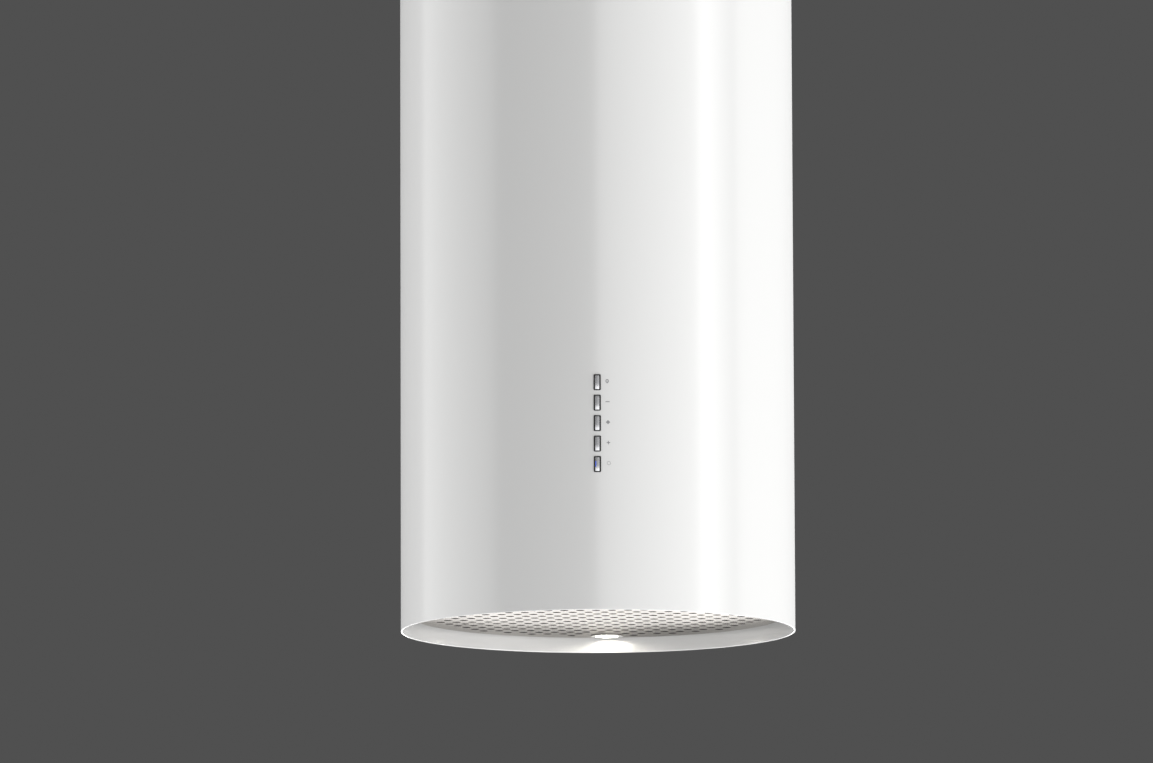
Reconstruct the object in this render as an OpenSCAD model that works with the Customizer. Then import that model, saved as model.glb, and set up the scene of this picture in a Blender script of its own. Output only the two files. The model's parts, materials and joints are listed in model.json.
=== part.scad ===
// Island range hood: a round white tube that hangs from the ceiling on a telescopic frame.
// The modules measure heights from the lower rim, and from_rim() then puts the origin at the
// middle of the ceiling plate's top face, with +Z up, the buttons at -Y and +X to their right.

/* [Hood tube] */
// Outer diameter of the hood tube
hood_d = 350; // [346:1:370]
// Height of the hood tube
hood_h = 700; // [680:10:900]
// Sheet thickness of the hood tube
tube_wall = 1.2; // [0.8:0.1:1.5]

/* [Upper tube] */
// Clearance between the two tubes, per side
tube_gap = 0.8; // [0.5:0.1:1]
// Sheet thickness of the upper tube
upper_wall = 1; // [0.8:0.1:1.2]
// Length of the upper tube that shows above the hood tube
upper_show = 200; // [180:10:400]
// Length of the upper tube that is inside the hood tube
upper_lap = 130; // [100:5:135]

/* [Ceiling plate] */
// Diameter of the ceiling plate
plate_d = 300; // [296:1:320]
// Thickness of the ceiling plate
plate_t = 3; // [2:0.5:5]
// Diameter of the hole for the air duct
plate_hole_d = 200; // [160:5:205]
// Diameter of the circle that the ceiling bolts lie on
bolt_circle_d = 250; // [240:2:260]
// Diameter of each ceiling bolt's hole
bolt_hole_d = 8.5; // [6.5:0.5:10.5]

/* [Telescopic frame] */
// Half the outer width of the square upper frame
frame_half = 95; // [92:1:98]
// Leg length of the angle profiles
frame_leg = 20; // [18:1:22]
// Thickness of the angle profiles
frame_t = 2; // [1.5:0.5:2.5]
// Clearance between the nested angle profiles
frame_gap = 0.5; // [0.4:0.1:0.8]
// How far the hood can be raised from its place at rest
travel_up = 100; // [60:5:110]
// How far the hood can be lowered from its place at rest
travel_down = 80; // [40:5:90]

/* [Decks] */
// Height of the top deck's underside above the rim
deck_z = 430; // [425:1:438]
// Thickness of the top deck
deck_t = 2; // [1.5:0.5:3]
// Height of the filter deck's underside above the rim
filter_deck_z = 45; // [45:1:60]
// Thickness of the filter deck
filter_deck_t = 1.5; // [1:0.25:2]
// Diameter of the tie rods
rod_d = 8; // [7:0.5:10]
// Distance of the tie rods from the hood tube
rod_inset = 21.4; // [20:0.1:24]

/* [Blower] */
// Height of the impeller's axis above the rim
blower_z = 270; // [265:1:275]
// Outer diameter of the impeller
impeller_d = 160; // [150:2:162]
// Length of the impeller
impeller_w = 128; // [110:2:130]
// Number of blades
blade_n = 30; // [20:1:36]
// Thickness of each blade
blade_t = 0.8; // [0.6:0.1:1.2]
// Inner width of the scroll
scroll_w = 148; // [146:1:152]
// Inner radius of the scroll at its tongue
scroll_r0 = 88; // [86:1:92]
// Inner radius of the scroll at its outlet
scroll_r1 = 112; // [104:1:114]
// Sheet thickness of the scroll and its side plates
scroll_t = 1.2; // [0.8:0.1:1.5]
// Height of the scroll's outlet above the impeller's axis
outlet_rise = 100; // [98:1:104]
// Length of the blower brackets along the hood
hanger_len = 50; // [44:1:54]
// Diameter of the motor shaft
shaft_d = 8; // [6:1:10]

/* [Outlet] */
// Outer diameter of the duct collar
collar_d = 149; // [145:1:150]
// Height of the duct collar above the top deck
collar_h = 50; // [40:1:60]
// Place of the collar's axis behind the hood's axis
collar_y = 10; // [6:1:14]
// Diameter of the rod that the flaps swing on
flap_rod_d = 3; // [2.5:0.5:4]

/* [Panel] */
// Width of the gap between the panel's edge and the hood tube
edge_gap = 9.3; // [8:0.1:10.5]
// Sheet thickness of the perforated panel
panel_t = 0.8; // [0.6:0.1:1.2]
// Height of the panel's underside above the rim
panel_z = 12.5; // [10:0.5:13]
// Height of the panel's upturned edge
panel_edge_h = 5; // [4:0.5:6]
// Diameter of each round hole
hole_d = 7.5; // [5:0.25:8.5]
// Distance between the holes of a row
hole_pitch = 14.1; // [13:0.1:18]
// Distance between the rows
row_pitch = 14.4; // [13:0.1:18]
// Width of the plain border around the holes
hole_border = 14; // [10:1:20]
// Turn of the hole pattern about the panel's middle, in degrees
hole_turn = -1.6; // [-5:0.1:5]

/* [Panel hinge] */
// Distance of the hinge axis in front of the panel's rear edge
hinge_inset = 16.5; // [15.5:0.1:18]
// Height of the hinge axis above the panel's top face
hinge_rise = 3.7; // [3.6:0.1:4]
// Place of each hinge bracket beside the hood's axis
hinge_x = 44; // [40:1:48]
// Diameter of the hinge pins
hinge_pin_d = 3; // [2.5:0.5:3.5]

/* [Grease filter] */
// Diameter of the grease filter
filter_d = 256; // [246:2:260]
// Height of the grease filter
filter_h = 14; // [10:1:16]

/* [Lamp] */
// Diameter of the lamp's bezel
lamp_d = 29; // [27:0.5:31]
// Diameter of the lamp's lens opening
lens_d = 20.4; // [18:0.2:21]
// Place of the lamp to the right of the hood's axis
lamp_x = 8; // [0:1:10]
// Distance of the lamp's middle in front of the panel's rear edge
lamp_inset = 17.5; // [17:0.1:20]

/* [Buttons] */
// Height of the lowest button's middle above the rim
button_z = 127.5; // [115:0.5:130]
// Distance between the buttons
button_pitch = 18; // [16.5:0.1:18.5]
// Width of a button's bezel
bezel_w = 6.3; // [6:0.1:7]
// Height of a button's bezel
bezel_h = 14; // [13:0.1:14.5]
// Width of a button's face
button_w = 3.4; // [3:0.1:3.6]
// Height of a button's face
button_h = 12.1; // [11:0.1:12.3]
// Travel of a button
button_travel = 1; // [0.6:0.1:1.2]

/* [Electronics] */
// Width of the electronics box
ebox_w = 120; // [110:1:124]
// Clearance between the electronics box and the hood tube
ebox_clear = 13; // [12:0.5:16]
// Height of the electronics box
ebox_h = 100; // [90:1:120]
// Diameter of the mains cable that the gland takes
cable_d = 8; // [6:0.5:9]

/* [Hidden] */
$fn = 96;

// Number of buttons, each one a node
button_n = 5;
// Clearances: seated faces, running bores, pieces that pass each other
seat_gap = 0.05;
run_gap = 0.04;
pass_gap = 0.4;

// Radii and heights of the two tubes
hood_r = hood_d / 2;
hood_ri = hood_r - tube_wall;
upper_r = hood_ri - tube_gap;
upper_ri = upper_r - upper_wall;
overall_h = hood_h + upper_show;
plate_z = overall_h - plate_t;

// Decks and frames
deck_top = deck_z + deck_t;
deck_r = hood_ri - 4;
filter_deck_top = filter_deck_z + filter_deck_t;
filter_deck_r = hood_ri - 1.3;
frame_margin = 13;
upper_frame_z = deck_top + travel_up + frame_margin;
lower_half = frame_half - frame_t - frame_gap;
lower_frame_top = hood_h - 5;
foot_size = 22;
strap_h = 20;
clamp_z = upper_frame_z + strap_h + 20;
clamp_y = frame_half - frame_leg / 2;
clamp_screw_d = 5;
clamp_slot_w = clamp_screw_d + 1;
foot_bolt_d = 5;
foot_bolt_at = lower_half - foot_size / 2 - 2;
frame_bolt_at = frame_half - foot_size / 2 - 2;

// Brackets that hold the upper tube on the ceiling plate
bracket_w = 24;
bracket_drop = 30;
bracket_t = 2;
bracket_turn = 22.5;
bracket_screw_d = 4;
bracket_screw_r = plate_d / 2 - 7;
bracket_screw_z = plate_z - bracket_t - bracket_drop / 2;

// Hanger ring and tie rods
hanger_w = 14;
hanger_t = 1.5;
hanger_screw_r = hood_ri - 11.5;
rod_turn = 41;
rod_x = (hood_ri - rod_inset) * cos(rod_turn);
rod_y = (hood_ri - rod_inset) * sin(rod_turn);
rod_stud_d = rod_d - 2;
rod_nut_h = 5;

// Blower
tongue_a = 90;
scroll_y = collar_y - scroll_r1 / 2;
scroll_top = blower_z + outlet_rise;
inlet_r = impeller_d / 2 - 18;
blade_len = 14;
blade_lean = 35;
end_ring_t = 1;
disc_t = 1.5;
hub_r = 12;
hub_w = 28;
shaft_r = shaft_d / 2;
side_x = scroll_w / 2;
ring_x = side_x + scroll_t;
ring_t = 1.8;
ring_w = 20;
motor_r = 42;
motor_x0 = 18;
motor_x1 = 94;
motor_wall = 2;
bearing_w = 7;
bearing_r = shaft_r + 7;
boss_r = bearing_r + 3;
spider_t = 2;
spider_x = ring_x + ring_t;
spider_bolt_r = inlet_r + ring_w - 6;
spider_bolt_d = 4;
stator_x0 = 38;
stator_x1 = 70;
rotor_r = 23.5;
mount_h = 6;
mount_r = 8;
hanger_y0 = collar_y - 0.96 * hanger_len;
hanger_y1 = hanger_y0 + hanger_len;
hanger_z = blower_z + inlet_r + ring_w + 4;
hanger_out = 22;

// Outlet
collar_r = collar_d / 2;
collar_t = 1;
collar_ri = collar_r - collar_t;
collar_flange = 9;
collar_flange_t = 1.2;
flap_rod_r = flap_rod_d / 2;
flap_z = deck_top + 24;
flap_t = 0.8;
flap_r = collar_ri - 1;
knuckle_r = flap_rod_r + 1.3;
knuckle_len = 30;
flap_edge = knuckle_r + pass_gap;

// Panel, hinge and filter
panel_r = hood_ri - edge_gap;
panel_top = panel_z + panel_t;
hole_field_r = panel_r - hole_border;
lamp_clear_r = lamp_d / 2 + 9;
hinge_y = panel_r - hinge_inset;
hinge_z = panel_top + hinge_rise;
hinge_half = hinge_rise - 0.5;
hinge_foot = 12;
hinge_foot_t = 1.5;
hinge_pin_r = hinge_pin_d / 2;
hinge_t = 3;
ear_t = 2;
ear_r = 3.9;
ear_foot_w = 10;
filter_y = -15;
filter_r = filter_d / 2;
filter_z = panel_top;
filter_top = filter_z + filter_h;
filter_sheet = 1;
filter_lip = 8;
shroud_r = filter_r - 9;
filter_hole_r = shroud_r + 2;
catch_r0 = panel_r - 4.5;
catch_z = panel_z + panel_edge_h + pass_gap;
catch_h = 10;
catch_w = 24;
catch_turn = 25;

// Lamp
lamp_y = panel_r - lamp_inset;
lamp_r = lamp_d / 2;
lens_r = lens_d / 2;
bezel_drop = 1;
neck_r = lamp_r - 1.9;
neck_wall = 1;
neck_top = panel_top + 3.9;
lens_t = 1.5;
sink_r = lamp_r + 0.5;
sink_base = 3;
sink_top = panel_top + 22.7;
fin_n = 7;
fin_t = 1.2;

// Buttons: depths are measured inwards from the tube's outer surface at the front
bezel_proud = 0.8;
bezel_lip = 0.5;
bezel_depth = tube_wall + 1.2;
face_proud = bezel_proud + button_travel;
key_flange_t = 0.8;
key_flange_in = bezel_depth + pass_gap;
box_in = key_flange_in + key_flange_t + button_travel + 0.5;
box_wall = 1.5;
board_in = box_in + 11.4;
board_t = 1.6;
stem_w = 2.4;
stem_h = 6;
switch_h = 3.5;
plunger_len = 1;
stem_in = board_in - switch_h - plunger_len - button_travel - 0.3;
control_w = 40;
control_end = 18;
control_depth = 20;
control_z0 = button_z - control_end;
control_z1 = button_z + (button_n - 1) * button_pitch + control_end;
stud_d = 4;
stud_len = 16;
ear_w = 14;
ear_h = 12;
switch_w = 6;
plunger_d = 3;
standoff_d = 6;
standoff_in = 8;
lens_w = 0.6;
lens_h = 5;

// Electronics
ebox_t = 1.2;
ebox_y = collar_y + collar_r + 7.5;
ebox_d = sqrt(pow(hood_ri, 2) - pow(ebox_w / 2, 2)) - ebox_clear - ebox_y;
ebox_z = deck_z - ebox_h;
gland_x = 35;
gland_y = ebox_y + 28;
gland_r = cable_d / 2 + 4;
gland_nut_r = gland_r + 3;
gland_nut_h = 5;
gland_neck_h = 7;
gland_cap_h = 8;
power_w = 46;
power_x = 34 - ebox_w / 2;
power_y = 6;
coil_w = 26;
coil_h = 24;
terminal_w = 34;
terminal_d = 18;
terminal_h = 16;
wire_hole_d = 4;
wire_pitch = 10;
cap_r = 14;
cap_h = 58;

// Turns heights above the rim into heights below the ceiling plate's top face
module from_rim() {
    translate([0, 0, -overall_h]) children();
}

// Puts a vertical shape's Z along X, so that (x, y) of a flat shape becomes (Y, Z)
module along_x(x) {
    translate([x, 0, 0]) rotate([90, 0, 90]) children();
}

// One copy in each quarter, mirrored across X and Y
module in_quarters() {
    for (mx = [0, 1], my = [0, 1]) mirror([mx, 0, 0]) mirror([0, my, 0]) children();
}

// One copy on each side, mirrored across X
module on_both_sides() {
    for (mx = [0, 1]) mirror([mx, 0, 0]) children();
}

// n copies around the Z axis, from the angle start
module around(n, start) {
    for (i = [0:n - 1]) rotate(start + i * 360 / n) children();
}

module ring(outer_r, inner_r, h) {
    linear_extrude(h) difference() {
        circle(outer_r);
        circle(inner_r);
    }
}

// Screw whose head lies below z = 0 and whose shank rises above it
module screw(d, length, head_h) {
    union() {
        cylinder(d = d, h = length);
        translate([0, 0, -head_h]) cylinder(d = 1.8 * d, h = head_h);
    }
}

// Screw with its nut, clamping the sheets between z = 0 and z = grip
module bolt_and_nut(d, grip) {
    union() {
        screw(d, grip + 0.5 * d, 0.6 * d);
        translate([0, 0, grip]) cylinder(d = 1.9 * d, h = 0.7 * d);
    }
}

// Equal-leg angle with its outer corner at (corner, corner)
module angle_profile(corner, h) {
    linear_extrude(h) union() {
        translate([corner - frame_leg, corner - frame_t]) square([frame_leg, frame_t]);
        translate([corner - frame_t, corner - frame_leg]) square([frame_t, frame_leg]);
    }
}

module square_strap(half, t, h) {
    linear_extrude(h) difference() {
        square(2 * half, center = true);
        square(2 * (half - t), center = true);
    }
}

module foot(corner, t) {
    translate([corner - foot_size, corner - foot_size, 0]) cube([foot_size, foot_size, t]);
}

// Plate with round corners, standing at y = 0 and growing towards +Y, centred on X and Z
module round_plate(w, h, r, t) {
    rotate([90, 0, 0]) mirror([0, 0, 1]) linear_extrude(t) union() {
        square([w - 2 * r, h], center = true);
        square([w, h - 2 * r], center = true);
        for (sx = [-1, 1], sz = [-1, 1])
            translate([sx * (w / 2 - r), sz * (h / 2 - r)]) circle(r);
    }
}

// ---------- Fixed to the ceiling ----------

module ceiling_plate() {
    color("gainsboro") from_rim() difference() {
        translate([0, 0, plate_z]) cylinder(d = plate_d, h = plate_t);
        translate([0, 0, plate_z - 1]) cylinder(d = plate_hole_d, h = plate_t + 2);
        around(4, 0) translate([bolt_circle_d / 2, 0, plate_z - 1])
            cylinder(d = bolt_hole_d, h = plate_t + 2);
        in_quarters() translate([frame_bolt_at, frame_bolt_at, plate_z - 1])
            cylinder(d = foot_bolt_d + 0.4, h = plate_t + 2);
        around(4, bracket_turn) translate([bracket_screw_r, 0, plate_z - 1])
            cylinder(d = bracket_screw_d + 0.3, h = plate_t + 2);
    }
}

module upper_frame() {
    color("silver") from_rim() difference() {
        union() {
            in_quarters() translate([0, 0, upper_frame_z])
                angle_profile(frame_half, plate_z - upper_frame_z);
            in_quarters() translate([0, 0, plate_z - frame_t]) foot(frame_half, frame_t);
            translate([0, 0, upper_frame_z])
                square_strap(frame_half + frame_t, frame_t + 0.4, strap_h);
        }
        in_quarters() translate([frame_bolt_at, frame_bolt_at, plate_z - frame_t - 1])
            cylinder(d = foot_bolt_d + 0.4, h = frame_t + 2);
        in_quarters() translate([0, clamp_y, clamp_z]) rotate([0, 90, 0])
            cylinder(d = clamp_screw_d + 0.2, h = frame_half + 1);
    }
}

module upper_tube() {
    color("white") from_rim() difference() {
        translate([0, 0, hood_h - upper_lap]) ring(upper_r, upper_ri, upper_show + upper_lap);
        around(4, bracket_turn) translate([0, 0, bracket_screw_z]) rotate([0, 90, 0])
            cylinder(d = bracket_screw_d + 0.3, h = hood_r);
    }
}

module tube_brackets() {
    color("silver") from_rim() around(4, bracket_turn) difference() {
        intersection() {
            translate([0, 0, plate_z]) rotate_extrude() polygon([
                [plate_d / 2 - 14, 0], [upper_ri - seat_gap, 0],
                [upper_ri - seat_gap, -bracket_t - bracket_drop],
                [upper_ri - seat_gap - bracket_t, -bracket_t - bracket_drop],
                [upper_ri - seat_gap - bracket_t, -bracket_t],
                [plate_d / 2 - 14, -bracket_t]]);
            translate([0, -bracket_w / 2, plate_z - 2 * bracket_drop])
                cube([hood_r, bracket_w, 2 * bracket_drop]);
        }
        translate([bracket_screw_r, 0, plate_z - bracket_t - 1])
            cylinder(d = bracket_screw_d + 0.3, h = bracket_t + 2);
        translate([0, 0, bracket_screw_z]) rotate([0, 90, 0])
            cylinder(d = bracket_screw_d + 0.3, h = hood_r);
    }
}

module bracket_screws() {
    color("white") from_rim() around(4, bracket_turn) {
        translate([bracket_screw_r, 0, plate_z - bracket_t])
            screw(bracket_screw_d, bracket_t + plate_t - 0.5, 2);
        translate([upper_r + seat_gap, 0, bracket_screw_z]) rotate([0, -90, 0])
            screw(bracket_screw_d, upper_wall + bracket_t + 3, 2);
    }
}

// Screws that hold the upper frame on the plate, and those that clamp the two frames together
module frame_screws() {
    grip = 2 * frame_t + frame_gap + pass_gap + seat_gap;
    color("dimgray") from_rim() in_quarters() {
        translate([frame_bolt_at, frame_bolt_at, plate_z - frame_t])
            screw(foot_bolt_d, frame_t + plate_t - 0.5, 3);
        translate([frame_half + seat_gap, clamp_y, clamp_z]) rotate([0, -90, 0])
            bolt_and_nut(clamp_screw_d, grip);
    }
}

// ---------- Hood tube and its chassis ----------

module button_places() {
    for (i = [0:button_n - 1]) translate([0, -hood_r, button_z + i * button_pitch]) children();
}

module lower_tube() {
    color("white") from_rim() union() {
        difference() {
            ring(hood_r, hood_ri, hood_h);
            button_places() translate([0, -2, 0])
                round_plate(bezel_w - 2 * bezel_lip + 0.1, bezel_h - 2 * bezel_lip + 0.1, 0.6,
                            bezel_depth + 2);
        }
        for (z = [control_z0 - ear_h / 2, control_z1 + ear_h / 2])
            translate([0, -hood_ri - 0.4, z]) rotate([-90, 0, 0]) cylinder(d = stud_d, h = stud_len);
    }
}

module lower_frame() {
    slot_z0 = clamp_z - travel_up;
    slot_z1 = clamp_z + travel_down;
    inner = lower_half - frame_t;
    color("silver") from_rim() difference() {
        union() {
            in_quarters() translate([0, 0, deck_top])
                angle_profile(lower_half, lower_frame_top - deck_top);
            in_quarters() translate([0, 0, deck_top]) foot(lower_half, frame_t);
            translate([0, 0, lower_frame_top - 12]) square_strap(inner + 0.4, frame_t, 12);
        }
        in_quarters() translate([foot_bolt_at, foot_bolt_at, deck_top - 1])
            cylinder(d = foot_bolt_d + 0.4, h = frame_t + 2);
        in_quarters() translate([inner - 1, clamp_y - clamp_slot_w / 2, slot_z0])
            cube([frame_t + 2, clamp_slot_w, slot_z1 - slot_z0]);
        in_quarters() for (z = [slot_z0, slot_z1])
            translate([inner - 1, clamp_y, z]) rotate([0, 90, 0])
                cylinder(d = clamp_slot_w, h = frame_t + 2);
    }
}

// Bolts through the top deck: four in the frame's feet and four in the hanger ring
module deck_bolts() {
    color("dimgray") from_rim() {
        in_quarters() translate([foot_bolt_at, foot_bolt_at, deck_z])
            bolt_and_nut(foot_bolt_d, deck_t + frame_t);
        around(4, 0) translate([hanger_screw_r, 0, deck_z])
            bolt_and_nut(foot_bolt_d, deck_t + hanger_t);
    }
}

module top_deck() {
    color("lightgray") from_rim() difference() {
        translate([0, 0, deck_z]) cylinder(r = deck_r, h = deck_t);
        translate([0, 0, deck_z - 1]) {
            translate([0, collar_y, 0]) cylinder(r = collar_ri, h = deck_t + 2);
            translate([gland_x, gland_y, 0]) cylinder(r = gland_r + 0.1, h = deck_t + 2);
            in_quarters() translate([foot_bolt_at, foot_bolt_at, 0])
                cylinder(d = foot_bolt_d + 0.4, h = deck_t + 2);
            in_quarters() translate([rod_x, rod_y, 0])
                cylinder(d = rod_stud_d + 0.3, h = deck_t + 2);
            around(4, 0) translate([hanger_screw_r, 0, 0])
                cylinder(d = foot_bolt_d + 0.4, h = deck_t + 2);
            translate([0, collar_y, 0]) around(4, 45) translate([collar_r + 5, 0, 0])
                cylinder(d = bracket_screw_d + 0.3, h = deck_t + 2);
        }
    }
}

module hanger_ring() {
    inner = hood_ri - hanger_w;
    outer = hood_ri - seat_gap;
    color("silver") from_rim() difference() {
        translate([0, 0, deck_top]) rotate_extrude() polygon([
            [inner, 0], [outer, 0], [outer, hanger_w], [outer - hanger_t, hanger_w],
            [outer - hanger_t, hanger_t], [inner, hanger_t]]);
        around(4, 0) translate([hanger_screw_r, 0, deck_top - 1])
            cylinder(d = foot_bolt_d + 0.4, h = hanger_t + 2);
    }
}

module tie_rods() {
    color("silver") from_rim() in_quarters() translate([rod_x, rod_y, 0]) union() {
        translate([0, 0, filter_deck_top]) cylinder(d = rod_d, h = deck_z - filter_deck_top);
        translate([0, 0, filter_deck_z - rod_nut_h])
            cylinder(d = rod_stud_d, h = deck_top - filter_deck_z + 2 * rod_nut_h);
        translate([0, 0, deck_top]) cylinder(d = 1.8 * rod_stud_d, h = rod_nut_h);
        translate([0, 0, filter_deck_z - rod_nut_h]) cylinder(d = 1.8 * rod_stud_d, h = rod_nut_h);
    }
}

module filter_deck() {
    color("white") from_rim() difference() {
        translate([0, 0, filter_deck_z]) cylinder(r = filter_deck_r, h = filter_deck_t);
        translate([0, filter_y, filter_deck_z - 1])
            cylinder(r = filter_hole_r, h = filter_deck_t + 2);
        in_quarters() translate([rod_x, rod_y, filter_deck_z - 1])
            cylinder(d = rod_stud_d + 0.3, h = filter_deck_t + 2);
    }
}

module filter_shroud() {
    outer = filter_hole_r + 6;
    color("silver") from_rim() translate([0, filter_y, 0]) rotate_extrude() polygon([
        [shroud_r - 1, filter_top + 0.6], [shroud_r, filter_top + 0.6],
        [shroud_r, filter_deck_z - 1], [outer, filter_deck_z - 1],
        [outer, filter_deck_z], [shroud_r - 1, filter_deck_z]]);
}

// ---------- Blower ----------

// Radius of the scroll's inner face at the angle a, from the tongue to the outlet
function scroll_r(a) = scroll_r0 + (scroll_r1 - scroll_r0) * (a - tongue_a) / (360 - tongue_a);

// Outline of the scroll, grown outwards by t, with its straight outlet at the top
function scroll_outline(t) = concat(
    [[-t, scroll_top - blower_z]],
    [for (a = [tongue_a:10:360]) let (r = scroll_r(a) + t) [r * cos(a) - (a == tongue_a ? t : 0),
                                                            r * sin(a)]],
    [[scroll_r1 + t, scroll_top - blower_z]]);

module at_blower() {
    translate([0, scroll_y, blower_z]) children();
}

module scroll_wall() {
    inner = scroll_outline(0);
    outer = scroll_outline(scroll_t);
    n = len(outer);
    color("silver") from_rim() at_blower() along_x(-side_x) linear_extrude(scroll_w)
        polygon(concat(inner, [for (i = [n - 1:-1:0]) outer[i]]));
}

module side_plate() {
    along_x(side_x) linear_extrude(scroll_t) difference() {
        polygon(scroll_outline(scroll_t));
        circle(inlet_r);
        for (i = [0:2]) rotate(90 + i * 120) translate([spider_bolt_r, 0])
            circle(d = spider_bolt_d + 0.3);
    }
}

module side_plate_right() {
    color("silver") from_rim() at_blower() side_plate();
}

module side_plate_left() {
    color("silver") from_rim() at_blower() mirror([1, 0, 0]) side_plate();
}

// Bell-mouthed ring on the outside of a side plate, with its lip through the plate
module inlet_ring() {
    along_x(0) difference() {
        rotate_extrude() polygon([
            [inlet_r - 2, side_x - 5], [inlet_r - 0.8, side_x - 5],
            [inlet_r - 0.8, ring_x], [inlet_r + ring_w, ring_x],
            [inlet_r + ring_w, ring_x + ring_t], [inlet_r, ring_x + ring_t],
            [inlet_r - 1.5, ring_x + ring_t - 1], [inlet_r - 2, ring_x + ring_t - 2.5]]);
        for (i = [0:2]) rotate(90 + i * 120) translate([spider_bolt_r, 0, ring_x - 1])
            cylinder(d = spider_bolt_d + 0.3, h = ring_t + 2);
    }
}

module inlet_ring_right() {
    color("black") from_rim() at_blower() inlet_ring();
}

module inlet_ring_left() {
    color("black") from_rim() at_blower() mirror([1, 0, 0]) inlet_ring();
}

module blower_brackets() {
    top = deck_z - mount_h;
    color("silver") from_rim() on_both_sides() {
        translate([ring_x, hanger_y0, hanger_z])
            cube([scroll_t, hanger_y1 - hanger_y0, top - hanger_z]);
        translate([ring_x, hanger_y0, top - scroll_t])
            cube([hanger_out, hanger_y1 - hanger_y0, scroll_t]);
    }
}

module rubber_mounts() {
    color("black") from_rim() on_both_sides()
        for (y = [hanger_y0 + mount_r + 1, hanger_y1 - mount_r - 1])
            translate([ring_x + hanger_out / 2 + 1, y, deck_z - mount_h])
                cylinder(r = mount_r, h = mount_h);
}

// Sheet funnel from the scroll's square outlet to the round hole in the deck
module funnel(grow, z0, z1) {
    hull() {
        translate([-side_x - grow, scroll_y - grow, z0])
            cube([scroll_w + 2 * grow, scroll_r1 + 2 * grow, 1]);
        translate([0, collar_y, z1 - 1]) cylinder(r = collar_ri - 1.2 + grow, h = 1, $fn = 32);
    }
}

module outlet_duct() {
    color("silver") from_rim() difference() {
        funnel(scroll_t, scroll_top, deck_z - 0.5);
        funnel(0, scroll_top - 0.01, deck_z - 0.49);
    }
}

module duct_collar() {
    color("black") from_rim() translate([0, collar_y, deck_top]) difference() {
        union() {
            ring(collar_r, collar_ri, collar_h);
            ring(collar_r + collar_flange, collar_ri, collar_flange_t);
            translate([0, 0, flap_z - deck_top - flap_t / 2 - pass_gap - 1.6])
                ring(collar_ri + 0.2, collar_ri - 3, 1.6);
        }
        translate([0, collar_r + 1, flap_z - deck_top]) rotate([90, 0, 0])
            cylinder(r = flap_rod_r, h = 2 * collar_r + 2);
        around(4, 45) translate([collar_r + 5, 0, -1])
            cylinder(d = bracket_screw_d + 0.3, h = collar_flange_t + 2);
    }
}

module flap_rod() {
    color("silver") from_rim() translate([0, collar_y + collar_r - 0.5, flap_z])
        rotate([90, 0, 0]) cylinder(r = flap_rod_r, h = 2 * collar_r - 1);
}

// Half-round leaf on the left of the rod, with its knuckles starting at each y in starts
module flap_leaf(starts) {
    difference() {
        union() {
            translate([0, 0, -flap_t / 2]) linear_extrude(flap_t) union() {
                intersection() {
                    circle(flap_r);
                    translate([-flap_r - 1, -flap_r]) square([flap_r + 1 - flap_edge, 2 * flap_r]);
                }
                for (y = starts) translate([-flap_edge - 1, y]) square([flap_edge + 1, knuckle_len]);
            }
            for (y = starts) translate([0, y, 0]) rotate([-90, 0, 0])
                cylinder(r = knuckle_r, h = knuckle_len);
        }
        translate([0, -flap_r, 0]) rotate([-90, 0, 0])
            cylinder(r = flap_rod_r + run_gap, h = 2 * flap_r);
    }
}

module flap_left() {
    color("black") from_rim() translate([0, collar_y, flap_z])
        flap_leaf([-2 * knuckle_len - 0.6, 0.2]);
}

module flap_right() {
    color("black") from_rim() translate([0, collar_y, flap_z]) rotate(180)
        flap_leaf([-2 * knuckle_len - 0.6, 0.2]);
}

// ---------- Motor and impeller ----------

// Cylinder along the blower's axis from x0 to x1
module axle(r, x0, x1) {
    along_x(x0) cylinder(r = r, h = x1 - x0);
}

module motor_housing() {
    color("dimgray") from_rim() at_blower() difference() {
        union() {
            difference() {
                axle(motor_r, motor_x0, motor_x1);
                axle(motor_r - motor_wall, motor_x0 + motor_wall, motor_x1 + 1);
            }
            axle(boss_r, motor_x0, motor_x0 + bearing_w + motor_wall);
        }
        axle(bearing_r + run_gap / 2, motor_x0 + motor_wall, motor_x1);
        axle(shaft_r + 1.5, motor_x0 - 1, motor_x0 + motor_wall + 1);
    }
}

module motor_cap() {
    spigot_len = 4;
    spigot_r = motor_r - motor_wall - run_gap;
    color("silver") from_rim() at_blower() difference() {
        union() {
            axle(motor_r, motor_x1, motor_x1 + motor_wall);
            along_x(motor_x1 - spigot_len) ring(spigot_r, spigot_r - motor_wall, spigot_len);
            axle(boss_r, motor_x1 - bearing_w, motor_x1);
        }
        axle(bearing_r + run_gap / 2, motor_x1 - bearing_w - 1, motor_x1);
        axle(shaft_r + 1.5, motor_x1 - bearing_w - 1, motor_x1 + motor_wall + 1);
    }
}

module bearings() {
    color("lightgray") from_rim() at_blower()
        for (x = [motor_x0 + motor_wall, motor_x1 - bearing_w]) difference() {
            axle(bearing_r, x, x + bearing_w);
            axle(shaft_r + run_gap / 2, x - 1, x + bearing_w + 1);
        }
}

module stator() {
    color("chocolate") from_rim() at_blower() difference() {
        axle(motor_r - motor_wall - seat_gap, stator_x0, stator_x1);
        axle(rotor_r + 0.5, stator_x0 - 1, stator_x1 + 1);
    }
}

module rotor() {
    color("gray") from_rim() at_blower() difference() {
        axle(rotor_r, stator_x0, stator_x1);
        axle(shaft_r, stator_x0 - 1, stator_x1 + 1);
    }
}

module shaft() {
    color("silver") from_rim() at_blower() axle(shaft_r, -hub_w / 2 - 6, motor_x1 + motor_wall);
}

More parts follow.
